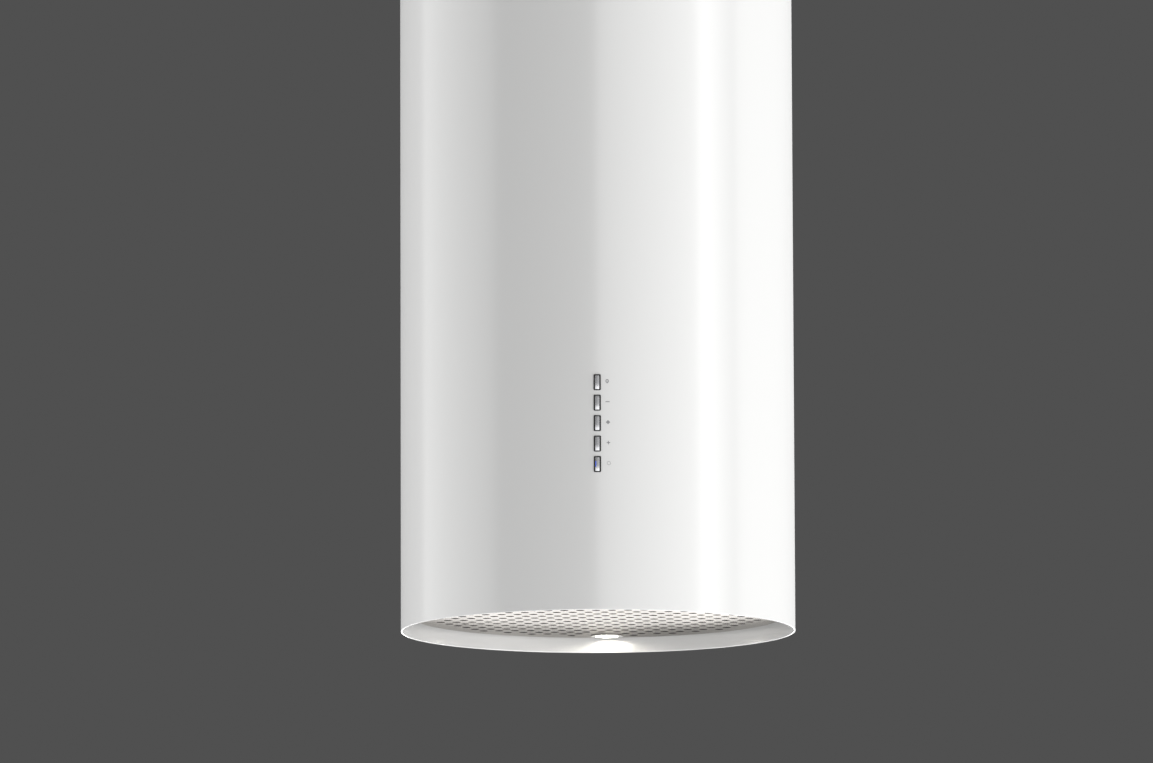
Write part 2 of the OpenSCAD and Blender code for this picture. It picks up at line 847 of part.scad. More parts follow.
// Double-width squirrel cage: a middle disc with its hub, and leaning blades
// Flat outlines of all blades, each grown by a margin
module blades(margin) {
    for (i = [0:blade_n - 1]) rotate(i * 360 / blade_n)
        translate([impeller_d / 2 - blade_len + 1, 0]) rotate(blade_lean)
            translate([-margin, -margin])
                square([blade_len - 1 + 2 * margin, blade_t + 2 * margin]);
}

// Hub and middle disc, with the blades seated in the disc's slots
module impeller() {
    blade_end = impeller_w / 2 - end_ring_t - seat_gap;
    color("dimgray") from_rim() at_blower() {
        difference() {
            union() {
                axle(impeller_d / 2 - 1, -disc_t / 2, disc_t / 2);
                axle(hub_r, -hub_w / 2, hub_w / 2);
            }
            axle(shaft_r, -hub_w, hub_w);
            along_x(-disc_t) linear_extrude(2 * disc_t) blades(seat_gap);
        }
        along_x(-blade_end) linear_extrude(2 * blade_end) blades(0);
    }
}

// Rings that the ends of the blades are riveted to
module impeller_rings() {
    outer = impeller_d / 2;
    color("dimgray") from_rim() at_blower()
        for (x = [-impeller_w / 2, impeller_w / 2 - end_ring_t])
            along_x(x) ring(outer, outer - blade_len, end_ring_t);
}

module motor_spider() {
    color("silver") from_rim() at_blower() along_x(spider_x) linear_extrude(spider_t)
        difference() {
            union() {
                circle(motor_r + 6);
                for (i = [0:2]) rotate(90 + i * 120) translate([motor_r, -8])
                    square([inlet_r + ring_w - motor_r, 16]);
            }
            circle(motor_r + seat_gap);
            for (i = [0:2]) rotate(90 + i * 120) translate([spider_bolt_r, 0])
                circle(d = spider_bolt_d + 0.3);
        }
}

// Screws of the duct collar and of the motor's spider, and nuts of the control box
module chassis_screws() {
    color("dimgray") from_rim() {
        translate([0, collar_y, deck_top + collar_flange_t]) around(4, 45)
            translate([collar_r + 5, 0, 0]) mirror([0, 0, 1])
                screw(bracket_screw_d, collar_flange_t + deck_t + 2, 2);
        at_blower() along_x(0) for (i = [0:2]) rotate(90 + i * 120)
            translate([spider_bolt_r, 0, spider_x + spider_t]) mirror([0, 0, 1])
                bolt_and_nut(spider_bolt_d, spider_t + ring_t + scroll_t);
        for (z = [control_z0 - ear_h / 2, control_z1 + ear_h / 2])
            translate([0, -hood_r + box_in + box_wall, z]) rotate([-90, 0, 0]) difference() {
                cylinder(d = 2 * stud_d, h = 3.2, $fn = 6);
                translate([0, 0, -1]) cylinder(d = stud_d, h = 6);
            }
    }
}

// ---------- Electronics ----------

module electronics_box() {
    color("silver") from_rim() difference() {
        translate([-ebox_w / 2, ebox_y, ebox_z]) cube([ebox_w, ebox_d, ebox_h]);
        translate([-ebox_w / 2 + ebox_t, ebox_y + ebox_t, ebox_z + ebox_t])
            cube([ebox_w - 2 * ebox_t, ebox_d, ebox_h - 2 * ebox_t]);
        translate([gland_x, gland_y, deck_z - ebox_t - 1]) cylinder(r = gland_r + 0.1, h = 5);
    }
}

module electronics_cover() {
    color("silver") from_rim()
        translate([-ebox_w / 2, ebox_y + ebox_d, ebox_z]) cube([ebox_w, ebox_t, ebox_h]);
}

module power_board() {
    floor_z = ebox_z + ebox_t;
    color("green") from_rim() {
        translate([power_x, ebox_y + power_y, floor_z])
            cube([power_w, ebox_d - 3 * power_y, board_t]);
        translate([power_x + 4, ebox_y + 2 * power_y, floor_z + board_t])
            cube([coil_w, coil_w, coil_h]);
    }
}

module terminal_block() {
    color("ivory") from_rim() difference() {
        translate([gland_x - 13, ebox_y + 8, ebox_z + ebox_t])
            cube([terminal_w, terminal_d, terminal_h]);
        for (i = [0:2])
            translate([gland_x - 6 + i * wire_pitch, ebox_y + 17, ebox_z + ebox_t + 6])
                cylinder(d = wire_hole_d, h = terminal_h);
    }
}

module capacitor() {
    color("lightgray") from_rim()
        translate([-ebox_w / 2 + cap_r + 3, ebox_y + cap_r + 8, ebox_z + ebox_t])
            cylinder(r = cap_r, h = cap_h);
}

module cable_gland() {
    foot_z = deck_z - ebox_t - gland_nut_h - 2;
    cap_z = deck_top + gland_neck_h;
    color("black") from_rim() translate([gland_x, gland_y, 0]) difference() {
        union() {
            translate([0, 0, foot_z]) cylinder(r = gland_r, h = cap_z + 3 - foot_z);
            translate([0, 0, deck_top]) cylinder(r = gland_nut_r, h = gland_neck_h, $fn = 6);
            translate([0, 0, cap_z])
                cylinder(r1 = gland_nut_r - 1.5, r2 = gland_r - 1, h = gland_cap_h);
            translate([0, 0, deck_z - ebox_t - gland_nut_h])
                cylinder(r = gland_nut_r, h = gland_nut_h, $fn = 6);
        }
        translate([0, 0, foot_z - 1]) cylinder(d = cable_d, h = cap_z + gland_cap_h + 2 - foot_z);
    }
}

// ---------- Buttons ----------

module control_box() {
    back = box_in + control_depth;
    height = control_z1 - control_z0;
    color("black") from_rim() difference() {
        union() {
            translate([-control_w / 2, -hood_r + box_in, control_z0])
                cube([control_w, control_depth, height]);
            translate([-ear_w / 2, -hood_r + box_in, control_z0 - ear_h])
                cube([ear_w, box_wall, height + 2 * ear_h]);
        }
        translate([-control_w / 2 + box_wall, -hood_r + box_in + box_wall, control_z0 + box_wall])
            cube([control_w - 2 * box_wall, back, height - 2 * box_wall]);
        button_places() translate([0, box_in - 1, 0])
            round_plate(stem_w + 2 * pass_gap, stem_h + 2 * pass_gap, 0.4, box_wall + 2);
        for (z = [control_z0 - ear_h / 2, control_z1 + ear_h / 2])
            translate([0, -hood_r, z]) rotate([-90, 0, 0]) cylinder(d = stud_d + 0.2, h = 2 * box_in);
    }
}

module control_board() {
    height = control_z1 - control_z0 - 2 * box_wall - 1;
    width = control_w - 2 * box_wall - 1;
    color("green") from_rim() union() {
        translate([-width / 2, -hood_r + board_in, control_z0 + box_wall + 0.5])
            cube([width, board_t, height]);
        for (sx = [-1, 1], z = [control_z0 + standoff_in, control_z1 - standoff_in])
            translate([sx * (width - standoff_d - 4) / 2, -hood_r + box_in + box_wall, z])
                rotate([-90, 0, 0]) cylinder(d = standoff_d, h = board_in - box_in - box_wall);
        button_places() {
            translate([-switch_w / 2, board_in - switch_h, -switch_w / 2])
                cube([switch_w, switch_h, switch_w]);
            translate([0, board_in - switch_h - plunger_len, 0]) rotate([-90, 0, 0])
                cylinder(d = plunger_d, h = plunger_len);
        }
    }
}

module button_bezels() {
    neck_w = bezel_w - 2 * bezel_lip;
    neck_h = bezel_h - 2 * bezel_lip;
    color("black") from_rim() button_places() difference() {
        union() {
            translate([0, -bezel_proud, 0]) round_plate(bezel_w, bezel_h, 1, bezel_proud);
            round_plate(neck_w, neck_h, 0.6, bezel_depth);
        }
        translate([0, -bezel_proud - 1, 0])
            round_plate(button_w + 0.6, button_h + 0.6, 0.4, bezel_depth + 4);
    }
}

// Button number i, counted upwards: face, retaining flange and stem
module button(i) {
    notch = i == 0 ? 1 : 0;
    color("silver") from_rim() translate([0, -hood_r, button_z + i * button_pitch]) difference() {
        union() {
            translate([0, -face_proud, 0])
                round_plate(button_w, button_h, 0.4, face_proud + key_flange_in);
            translate([0, key_flange_in, 0])
                round_plate(bezel_w - 2 * bezel_lip - 0.4, bezel_h - 2 * bezel_lip - 0.2, 0.4,
                            key_flange_t);
            translate([0, key_flange_in + key_flange_t, 0])
                round_plate(stem_w, stem_h, 0.2, stem_in - key_flange_in - key_flange_t);
        }
        if (notch == 1) translate([-button_w / 2 - 1, -face_proud - 1, -lens_h / 2])
            cube([lens_w + 1, face_proud + 1, lens_h]);
    }
}

module button_1() {
    button(0);
}

module button_2() {
    button(1);
}

module button_3() {
    button(2);
}

module button_4() {
    button(3);
}

module button_5() {
    button(4);
}

module indicator_lens() {
    color("dodgerblue") from_rim()
        translate([-button_w / 2, -hood_r - face_proud, button_z - lens_h / 2])
            cube([lens_w, face_proud, lens_h]);
}

// ---------- Hinged panel ----------

// Thin plate across X between x0 and x1, round below the axis and straight up to z1
module hinge_plate(x0, x1, half, z1) {
    translate([0, hinge_y, hinge_z]) along_x(x0) linear_extrude(x1 - x0) union() {
        circle(half);
        translate([-half, 0]) square([2 * half, z1 - hinge_z]);
    }
}

module hinge_brackets() {
    x0 = hinge_x - hinge_t / 2;
    color("silver") from_rim() on_both_sides() difference() {
        union() {
            hinge_plate(x0, x0 + hinge_t, hinge_half, filter_deck_z);
            translate([x0 - hinge_foot, hinge_y - hinge_half, filter_deck_z - hinge_foot_t])
                cube([hinge_foot + 0.5, 2 * hinge_half, hinge_foot_t]);
        }
        translate([0, hinge_y, hinge_z]) axle(hinge_pin_r, x0 - 1, x0 + hinge_t + 1);
    }
}

module hinge_pins() {
    x0 = hinge_x - hinge_t / 2;
    color("dimgray") from_rim() on_both_sides() translate([0, hinge_y, hinge_z]) union() {
        axle(hinge_pin_r, x0 - 1, x0 + hinge_t + pass_gap + ear_t + 1);
        axle(hinge_pin_r + 1.2, x0 - 1.5, x0);
    }
}

module magnet_catches() {
    color("dimgray") from_rim() for (a = [-90 - catch_turn, -90 + catch_turn]) rotate(a)
        intersection() {
            translate([0, 0, catch_z]) ring(hood_ri - seat_gap, catch_r0, catch_h);
            translate([0, -catch_w / 2, catch_z - 1]) cube([hood_r, catch_w, catch_h + 2]);
        }
}

// Middles of the round holes: staggered rows inside the plain border, clear of the lamp
hole_rows = floor(hole_field_r / row_pitch);
hole_cols = floor(hole_field_r / hole_pitch) + 1;
hole_places = [
    for (j = [-hole_rows:hole_rows], i = [-hole_cols:hole_cols])
        let (x = (i + (abs(j) % 2) / 2) * hole_pitch, y = j * row_pitch,
             p = [x * cos(hole_turn) - y * sin(hole_turn), x * sin(hole_turn) + y * cos(hole_turn)])
            if (norm(p) < hole_field_r - hole_d / 2 && norm(p - [lamp_x, lamp_y]) > lamp_clear_r) p];

// Tray with an upturned edge, its holes, and an ear beside each hinge bracket
module perforated_panel() {
    ear_x = hinge_x + hinge_t / 2 + pass_gap;
    color("silver") from_rim() union() {
        translate([0, 0, panel_z]) linear_extrude(panel_t) difference() {
            circle(panel_r);
            translate([lamp_x, lamp_y]) circle(neck_r + 0.1);
            for (p = hole_places) translate(p) circle(d = hole_d);
        }
        translate([0, 0, panel_z]) ring(panel_r, panel_r - panel_t, panel_edge_h);
        on_both_sides() difference() {
            union() {
                translate([0, hinge_y, 0]) along_x(ear_x) linear_extrude(ear_t) union() {
                    translate([0, hinge_z]) circle(ear_r);
                    translate([-ear_r, panel_top - 0.2])
                        square([2 * ear_r, hinge_z - panel_top + 0.2]);
                }
                translate([ear_x, hinge_y - ear_r - 3, panel_top - 0.2])
                    cube([ear_foot_w, ear_r + 3, 1.4]);
            }
            translate([0, hinge_y, hinge_z])
                axle(hinge_pin_r + run_gap, ear_x - 1, ear_x + ear_t + 1);
        }
    }
}

// Channel-shaped ring that holds the mesh pad
module filter_frame() {
    color("lightgray") from_rim() translate([0, filter_y, filter_z]) rotate_extrude() polygon([
        [filter_r - filter_lip, 0], [filter_r, 0], [filter_r, filter_h],
        [filter_r - filter_lip, filter_h], [filter_r - filter_lip, filter_h - filter_sheet],
        [filter_r - filter_sheet, filter_h - filter_sheet],
        [filter_r - filter_sheet, filter_sheet], [filter_r - filter_lip, filter_sheet]]);
}

module filter_mesh() {
    color("silver") from_rim() translate([0, filter_y, filter_z + filter_sheet])
        cylinder(r = filter_r - filter_sheet - seat_gap, h = filter_h - 2 * filter_sheet);
}

module at_lamp() {
    translate([lamp_x, lamp_y, 0]) children();
}

// Flange under the panel with its neck through it, and the clamp ring above the panel
module lamp_bezel() {
    color("white") from_rim() at_lamp() union() {
        rotate_extrude() polygon([
            [lens_r, panel_z - bezel_drop], [lamp_r, panel_z - bezel_drop],
            [lamp_r, panel_z], [neck_r, panel_z], [neck_r, neck_top],
            [neck_r - neck_wall, neck_top], [neck_r - neck_wall, panel_z], [lens_r, panel_z]]);
        translate([0, 0, panel_top]) ring(sink_r, neck_r - 0.1, neck_top - panel_top - 0.6);
    }
}

module lamp_lens() {
    color("white") from_rim() at_lamp() translate([0, 0, panel_z])
        cylinder(r = neck_r - neck_wall - seat_gap, h = lens_t);
}

// Finned heat sink on top of the neck, with the light source's boss reaching down to the lens
module lamp_sink() {
    color("gray") from_rim() at_lamp() union() {
        translate([0, 0, panel_z + lens_t + 0.6])
            cylinder(r = lens_r - 1, h = neck_top - panel_z - lens_t);
        translate([0, 0, neck_top]) cylinder(r = sink_r, h = sink_base);
        intersection() {
            translate([0, 0, neck_top]) cylinder(r = sink_r, h = sink_top - neck_top);
            for (i = [0:fin_n - 1])
                translate([(i - (fin_n - 1) / 2) * 2 * sink_r / fin_n - fin_t / 2, -sink_r, neck_top])
                    cube([fin_t, 2 * sink_r, sink_top - neck_top]);
        }
    }
}

ceiling_plate();
upper_frame();
frame_screws();
upper_tube();
tube_brackets();
bracket_screws();
lower_tube();
lower_frame();
deck_bolts();
top_deck();
hanger_ring();
tie_rods();
filter_deck();
filter_shroud();
scroll_wall();
side_plate_left();
side_plate_right();
inlet_ring_left();
inlet_ring_right();
blower_brackets();
rubber_mounts();
outlet_duct();
duct_collar();
chassis_screws();
flap_rod();
flap_left();
flap_right();
motor_housing();
motor_cap();
motor_spider();
stator();
bearings();
impeller();
impeller_rings();
shaft();
rotor();
electronics_box();
electronics_cover();
power_board();
terminal_block();
capacitor();
cable_gland();
control_box();
control_board();
button_bezels();
button_1();
button_2();
button_3();
button_4();
button_5();
indicator_lens();
hinge_brackets();
hinge_pins();
magnet_catches();
perforated_panel();
filter_frame();
filter_mesh();
lamp_bezel();
lamp_lens();
lamp_sink();
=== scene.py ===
"""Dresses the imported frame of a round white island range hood.

Each sub-assembly is a class that holds its sizes, builds its meshes in the row frame and gives them
their finishes. The frame gives every place. Lengths are in millimetres, and the studio's in metres.
"""

import json
import logging
import math
from collections.abc import Sequence
from dataclasses import dataclass
from enum import Enum

import bmesh
import bpy
from bmesh.types import BMesh, BMVert
from bpy.types import Material, Mesh, Node, NodeSocket, NodeTree, Object
from mathutils import Matrix, Vector

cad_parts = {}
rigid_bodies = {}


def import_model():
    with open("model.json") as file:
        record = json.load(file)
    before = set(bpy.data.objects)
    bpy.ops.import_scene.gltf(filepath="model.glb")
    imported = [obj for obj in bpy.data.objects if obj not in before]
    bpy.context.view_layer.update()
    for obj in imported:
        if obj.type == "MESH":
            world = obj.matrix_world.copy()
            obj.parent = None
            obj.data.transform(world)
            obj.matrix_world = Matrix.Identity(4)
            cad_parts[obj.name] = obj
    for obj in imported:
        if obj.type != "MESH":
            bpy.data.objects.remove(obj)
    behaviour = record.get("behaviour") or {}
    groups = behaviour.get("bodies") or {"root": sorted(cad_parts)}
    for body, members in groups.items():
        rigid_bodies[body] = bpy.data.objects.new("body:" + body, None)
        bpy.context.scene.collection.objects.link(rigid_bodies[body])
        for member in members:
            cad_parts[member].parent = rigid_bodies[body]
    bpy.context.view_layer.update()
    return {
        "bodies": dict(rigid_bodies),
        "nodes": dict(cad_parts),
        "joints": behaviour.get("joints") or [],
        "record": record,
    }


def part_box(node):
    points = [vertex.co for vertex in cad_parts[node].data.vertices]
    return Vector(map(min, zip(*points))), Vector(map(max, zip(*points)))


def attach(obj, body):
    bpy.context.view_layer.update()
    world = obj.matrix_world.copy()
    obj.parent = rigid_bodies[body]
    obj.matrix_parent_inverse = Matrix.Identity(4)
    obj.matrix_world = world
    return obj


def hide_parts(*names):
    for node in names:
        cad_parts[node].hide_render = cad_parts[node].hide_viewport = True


LOG = logging.getLogger("range_hood")
MM = 0.001

Point = tuple[float, float]
Outline = list[Point]


# ---------- Small tools ----------


def srgb(code: str) -> tuple[float, float, float, float]:
    """Turns an sRGB hex colour into linear RGBA.

    Args:
        code: Six hex digits.

    Returns:
        Linear red, green, blue and an alpha of 1.
    """
    channels = [int(code[i : i + 2], 16) / 255 for i in (0, 2, 4)]
    linear = [c / 12.92 if c <= 0.04045 else ((c + 0.055) / 1.055) ** 2.4 for c in channels]
    return (linear[0], linear[1], linear[2], 1.0)


def add_node(tree: NodeTree, kind: str, inputs: dict | None = None, **settings: object) -> Node:
    """Adds a node with its settings, links and socket values.

    Args:
        tree: The node tree that takes the node.
        kind: Blender's type name of the node.
        inputs: A value, an output socket, or a node whose first output is linked, by input name or index.
        settings: Properties of the node.

    Returns:
        The new node.
    """
    node = tree.nodes.new(kind)
    for key, value in settings.items():
        setattr(node, key, value)
    for key, value in (inputs or {}).items():
        source = value.outputs[0] if isinstance(value, Node) else value
        if isinstance(source, NodeSocket):
            tree.links.new(source, node.inputs[key])
        else:
            node.inputs[key].default_value = source
    return node


def box_mm(node: str) -> tuple[Vector, Vector, Vector]:
    """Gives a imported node's lowest corner, highest corner and middle in millimetres."""
    low, high = (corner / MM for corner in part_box(node))
    return low, high, (low + high) / 2


def make_piece(name: str, mesh: Mesh, material: Material | None, sharp_deg: float = 35) -> Object:
    """Puts a mesh into the scene as a smooth-shaded piece at the origin.

    Args:
        name: Name of the piece.
        mesh: Its mesh, already in the row frame.
        material: Its only material, or None where the mesh has its own.
        sharp_deg: Edges that bend more than this stay sharp.

    Returns:
        The new object.
    """
    mesh.name = name
    if material is not None:
        mesh.materials.clear()
        mesh.materials.append(material)
    mesh.shade_smooth()
    mesh.set_sharp_from_angle(angle=math.radians(sharp_deg))
    piece = bpy.data.objects.new(name, mesh)
    bpy.context.scene.collection.objects.link(piece)
    return piece


def plain_mesh(shape: BMesh) -> Mesh:
    """Turns a bmesh into a mesh as it is and frees it."""
    mesh = bpy.data.meshes.new("shape")
    shape.to_mesh(mesh)
    shape.free()
    return mesh


def mesh_of(shape: BMesh) -> Mesh:
    """Turns a finished bmesh in millimetres into a mesh in metres with faces that point outwards."""
    bmesh.ops.remove_doubles(shape, verts=shape.verts, dist=1e-4)
    bmesh.ops.recalc_face_normals(shape, faces=shape.faces)
    bmesh.ops.scale(shape, vec=(MM, MM, MM), verts=shape.verts)
    return plain_mesh(shape)


def evaluated_mesh(piece: Object) -> Mesh:
    """Gives a new plain mesh of a piece with its modifiers."""
    graph = bpy.context.evaluated_depsgraph_get()
    return bpy.data.meshes.new_from_object(piece.evaluated_get(graph), depsgraph=graph)


def filleted(points: Outline, radius: float, steps: int = 4) -> Outline:
    """Rounds the corners of a closed flat outline.

    Args:
        points: Corners in order.
        radius: Largest radius of a corner.
        steps: Faces along each corner.

    Returns:
        The rounded outline.
    """
    rounded: Outline = []
    for i, corner in enumerate(points):
        here = Vector(corner)
        before = Vector(points[i - 1]) - here
        after = Vector(points[(i + 1) % len(points)]) - here
        half = before.angle(after) / 2
        reach = min(radius / math.tan(half), 0.45 * before.length, 0.45 * after.length)
        start, end = here + before.normalized() * reach, here + after.normalized() * reach
        for k in range(steps + 1):
            t = k / steps
            rounded.append(tuple(start * (1 - t) ** 2 + here * (2 * t * (1 - t)) + end * t**2))
    return rounded


def round_rect(width: float, height: float, radius: float) -> Outline:
    """Gives the outline of a rectangle with round corners about the origin."""
    w, h = width / 2, height / 2
    return filleted([(-w, -h), (w, -h), (w, h), (-w, h)], radius)


def circle(radius: float, steps: int, centre: Point = (0, 0)) -> Outline:
    """Gives the points of a circle."""
    turns = [math.tau * i / steps for i in range(steps)]
    return [(centre[0] + radius * math.cos(a), centre[1] + radius * math.sin(a)) for a in turns]


def bridge(shape: BMesh, first: list[BMVert], second: list[BMVert], holes: Sequence[int] = ()) -> None:
    """Joins two rings of corners with faces.

    Args:
        shape: The bmesh that holds them.
        first: One ring, whose corners may be one and the same where it lies on an axis.
        second: The other ring, with as many corners.
        holes: Numbers of the faces that are left out.
    """
    for i in range(len(first)):
        k = (i + 1) % len(first)
        corners = [first[i], first[k], second[k], second[i]]
        corners = [v for n, v in enumerate(corners) if v not in corners[:n]]
        if len(corners) > 2 and i not in holes:
            shape.faces.new(corners)


def add_lathe(shape: BMesh, profile: Outline, steps: int, centre: Point = (0, 0)) -> None:
    """Adds a closed profile turned around an upright axis.

    Args:
        shape: The bmesh that takes it.
        profile: Radius and height of each point; a radius of 0 lies on the axis.
        steps: Faces around.
        centre: Place of the axis.
    """
    rings = []
    for radius, height in profile:
        if radius < 1e-6:
            rings.append([shape.verts.new((*centre, height))] * steps)
        else:
            rings.append([shape.verts.new((x, y, height)) for x, y in circle(radius, steps, centre)])
    for lower, upper in zip(rings, rings[1:] + rings[:1]):
        bridge(shape, lower, upper)


def add_plate(shape: BMesh, loops: list[Outline], depth: float, place: Matrix) -> list[BMVert]:
    """Adds a flat plate with any holes.

    Args:
        shape: The bmesh that takes it.
        loops: The outline, then one outline for each hole.
        depth: Thickness along the outline's own +Z.
        place: Turns and moves the plate to its place.

    Returns:
        The plate's corners.
    """
    own = bmesh.new()
    for loop in loops:
        corners = [own.verts.new((x, y, 0)) for x, y in loop]
        for i, corner in enumerate(corners):
            own.edges.new((corners[i - 1], corner))
    bmesh.ops.triangle_fill(own, edges=own.edges, use_beauty=True)
    top = bmesh.ops.extrude_face_region(own, geom=own.faces[:], use_keep_orig=True)
    raised = [part for part in top["geom"] if isinstance(part, BMVert)]
    bmesh.ops.translate(own, vec=(0, 0, depth), verts=raised)
    bmesh.ops.recalc_face_normals(own, faces=own.faces)
    bmesh.ops.transform(own, matrix=place, verts=own.verts)
    scratch = plain_mesh(own)
    known = len(shape.verts)
    shape.from_mesh(scratch)
    bpy.data.meshes.remove(scratch)
    shape.verts.ensure_lookup_table()
    return shape.verts[known:]


def soften(piece: Object, width: float, segments: int = 3, angle_deg: float = 40) -> None:
    """Rounds the sharp edges of a piece for good.

    Args:
        piece: The piece to round.
        width: Width of the rounding.
        segments: Faces across it.
        angle_deg: Only edges that bend more than this are rounded.
    """
    bevel = piece.modifiers.new("round", "BEVEL")
    bevel.width = width * MM
    bevel.segments = segments
    bevel.limit_method = "ANGLE"
    bevel.angle_limit = math.radians(angle_deg)
    old, baked = piece.data, evaluated_mesh(piece)
    piece.modifiers.clear()
    piece.data = baked
    bpy.data.meshes.remove(old)
    baked.name = piece.name


# ---------- Finishes ----------


class Pattern(Enum):
    """How a surface was made, which sets the pattern that shows on it."""

    SPRAYED = "soft orange peel of a sprayed coat"
    BRUSHED = "fine scratches along X"
    TURNED = "fine scratches along Y"
    SPANGLED = "crystals of hot-dip zinc"
    MOULDED = "spark-eroded grain of a mould"
    CAST = "skin of a pressure casting"
    STACKED = "thin sheets stacked along X"
    ETCHED = "copper tracks below a solder mask"


STRETCH = {
    Pattern.BRUSHED: (0.02, 1.0, 1.0),
    Pattern.TURNED: (1.0, 0.03, 1.0),
    Pattern.STACKED: (1.0, 0.01, 0.01),
}
# The part of a noise that is drawn out to fill 0 to 1.
NOISE_LOW, NOISE_HIGH = 0.25, 0.75


@dataclass(frozen=True)
class Finish:
    """A material and the way its surface was made.

    The pattern, with a grain of scale millimetres, blends colour into second, spreads the roughness
    and raises the relief. The edge tints what is seen at a grazing angle.
    """

    name: str
    colour: str
    second: str
    pattern: Pattern
    scale: float
    roughness: float
    spread: float = 0.06
    relief: float = 0.0
    metallic: float = 0.0
    glow: str = ""
    strength: float = 0.0
    edge: str = "FFFFFF"

    def material(self) -> Material:
        """Makes the material once and gives the same one afterwards."""
        known = bpy.data.materials.get(self.name)
        if known is not None:
            return known
        made = bpy.data.materials.new(self.name)
        made.use_nodes = True
        tree = made.node_tree
        tree.nodes.clear()
        level = self.pattern_level(tree)
        colours = {0: level, 6: srgb(self.colour), 7: srgb(self.second)}
        shade = add_node(tree, "ShaderNodeMix", colours, data_type="RGBA").outputs[2]
        low, high = self.roughness - self.spread, self.roughness + self.spread
        rough = add_node(tree, "ShaderNodeMapRange", {"Value": level, "To Min": low, "To Max": high})
        look = {
            "Base Color": shade,
            "Roughness": rough,
            "Metallic": self.metallic,
            "Specular Tint": srgb(self.edge),
        }
        if self.relief > 0:
            relief = {"Height": level, "Strength": 1.0, "Distance": self.relief * MM}
            look["Normal"] = add_node(tree, "ShaderNodeBump", relief)
        if self.glow:
            look |= {"Emission Color": srgb(self.glow), "Emission Strength": self.strength}
        surface = add_node(tree, "ShaderNodeBsdfPrincipled", look)
        add_node(tree, "ShaderNodeOutputMaterial", {"Surface": surface})
        return made

    def pattern_level(self, tree: NodeTree) -> NodeSocket:
        """Draws the pattern on object coordinates.

        Args:
            tree: The material's node tree.

        Returns:
            A socket that runs from 0 to 1 over the surface.
        """
        stretch = STRETCH.get(self.pattern, (1.0, 1.0, 1.0))
        spot = add_node(tree, "ShaderNodeTexCoord").outputs["Object"]
        scale = [s / (self.scale * MM) for s in stretch]
        place = add_node(tree, "ShaderNodeMapping", {"Vector": spot, "Scale": scale})
        if self.pattern is Pattern.SPANGLED:
            cells = add_node(tree, "ShaderNodeTexVoronoi", {"Vector": place, "Scale": 1.0})
            return add_node(tree, "ShaderNodeSeparateColor", {"Color": cells.outputs["Color"]}).outputs[0]
        if self.pattern is Pattern.STACKED:
            bands = {"Vector": place, "Scale": 0.3, "Distortion": 0.4}
            return add_node(tree, "ShaderNodeTexWave", bands).outputs["Fac"]
        if self.pattern is Pattern.ETCHED:
            tracks = {"Vector": place, "Scale": 0.25, "Mortar Size": 0.05}
            return add_node(tree, "ShaderNodeTexBrick", tracks).outputs["Fac"]
        detail = 2.0 if self.pattern is Pattern.SPRAYED else 5.0
        noise = add_node(tree, "ShaderNodeTexNoise", {"Vector": place, "Scale": 1.0, "Detail": detail})
        contrast = {"Value": noise.outputs["Fac"], "From Min": NOISE_LOW, "From Max": NOISE_HIGH}
        return add_node(tree, "ShaderNodeMapRange", contrast).outputs[0]


@dataclass(frozen=True)
class Metal(Finish):
    """The finish of a bare metal."""

    metallic: float = 1.0


# Sprayed and stoved polyester: a deep even white whose gloss carries a clear image of the lamps.
WHITE_ENAMEL = Finish("white_enamel", "F2F2F1", "F0F0EF", Pattern.SPRAYED, 2.5, 0.10, 0.01, 0.0006)
# AISI 304 sheet, punched and then brushed: long soft highlights broken by fine parallel lines.
BRUSHED_STEEL = Metal(
    "brushed_stainless_steel", "BEBBB7", "AAA7A3", Pattern.BRUSHED, 0.6, 0.17, 0.05, 0.004, edge="B3B0AD"
)
# Walls of punched holes: torn and duller than the face, and painted dark as shade so the holes read dark.
HOLE_WALL_SHADE_STEEL = Metal(
    "hole_wall_steel_painted_shade", "5C5A57", "3F3E3C", Pattern.CAST, 0.4, 0.55, 0.1, edge="8A8884"
)
# Hot-dip zinc: flat grey crystals of a few millimetres, each a little lighter or darker.
GALVANISED = Metal("galvanised_steel", "9A9FA3", "C9CDD0", Pattern.SPANGLED, 9.0, 0.38, 0.1)
# Electroplated zinc on cold-headed steel: even, a touch blue, softly bright.
ZINC_PLATE = Metal("zinc_plated_steel", "AEB1B6", "9FA2A6", Pattern.CAST, 0.8, 0.3, 0.06, 0.002)
# Ground bearing steel: bright, with faint lines round the shaft.
GROUND_STEEL = Metal("ground_steel", "C4C4C6", "B5B5B8", Pattern.TURNED, 0.3, 0.16, 0.05, 0.001)
# Polished ABS: near black, with a clear gloss.
GLOSS_ABS = Finish("black_gloss_abs", "08080A", "0B0B0D", Pattern.SPRAYED, 3.0, 0.09, 0.02, 0.0005)
# Polypropylene from a spark-eroded mould: dull black with a fine grain.
GRAINED_PP = Finish(
    "black_grained_polypropylene", "17171A", "1E1E21", Pattern.MOULDED, 0.5, 0.6, 0.08, 0.02
)
# Chromed ABS: a bright mirror, a little softened by its satin underlayer.
CHROMED_ABS = Metal("chrome_plated_abs", "E2E3E5", "DADBDE", Pattern.SPRAYED, 2.0, 0.2, 0.03, 0.0004)
# Clear polycarbonate light guide over a blue diode: deep blue with a faint inner light.
BLUE_GUIDE = Finish(
    "blue_light_guide", "16339A", "1D44B8", Pattern.SPRAYED, 1.0, 0.2, 0.04, glow="1E66F0", strength=0.7
)
# Moulded nitrile rubber: dull black without a clear reflection.
RUBBER = Finish("black_rubber", "1A1A1A", "222222", Pattern.MOULDED, 0.7, 0.72, 0.08, 0.02)
# Baked alkyd on a deep-drawn motor shell: even dark grey with a low gloss.
MOTOR_ENAMEL = Finish("grey_motor_enamel", "3A3B3E", "43454A", Pattern.SPRAYED, 1.2, 0.36, 0.05, 0.003)
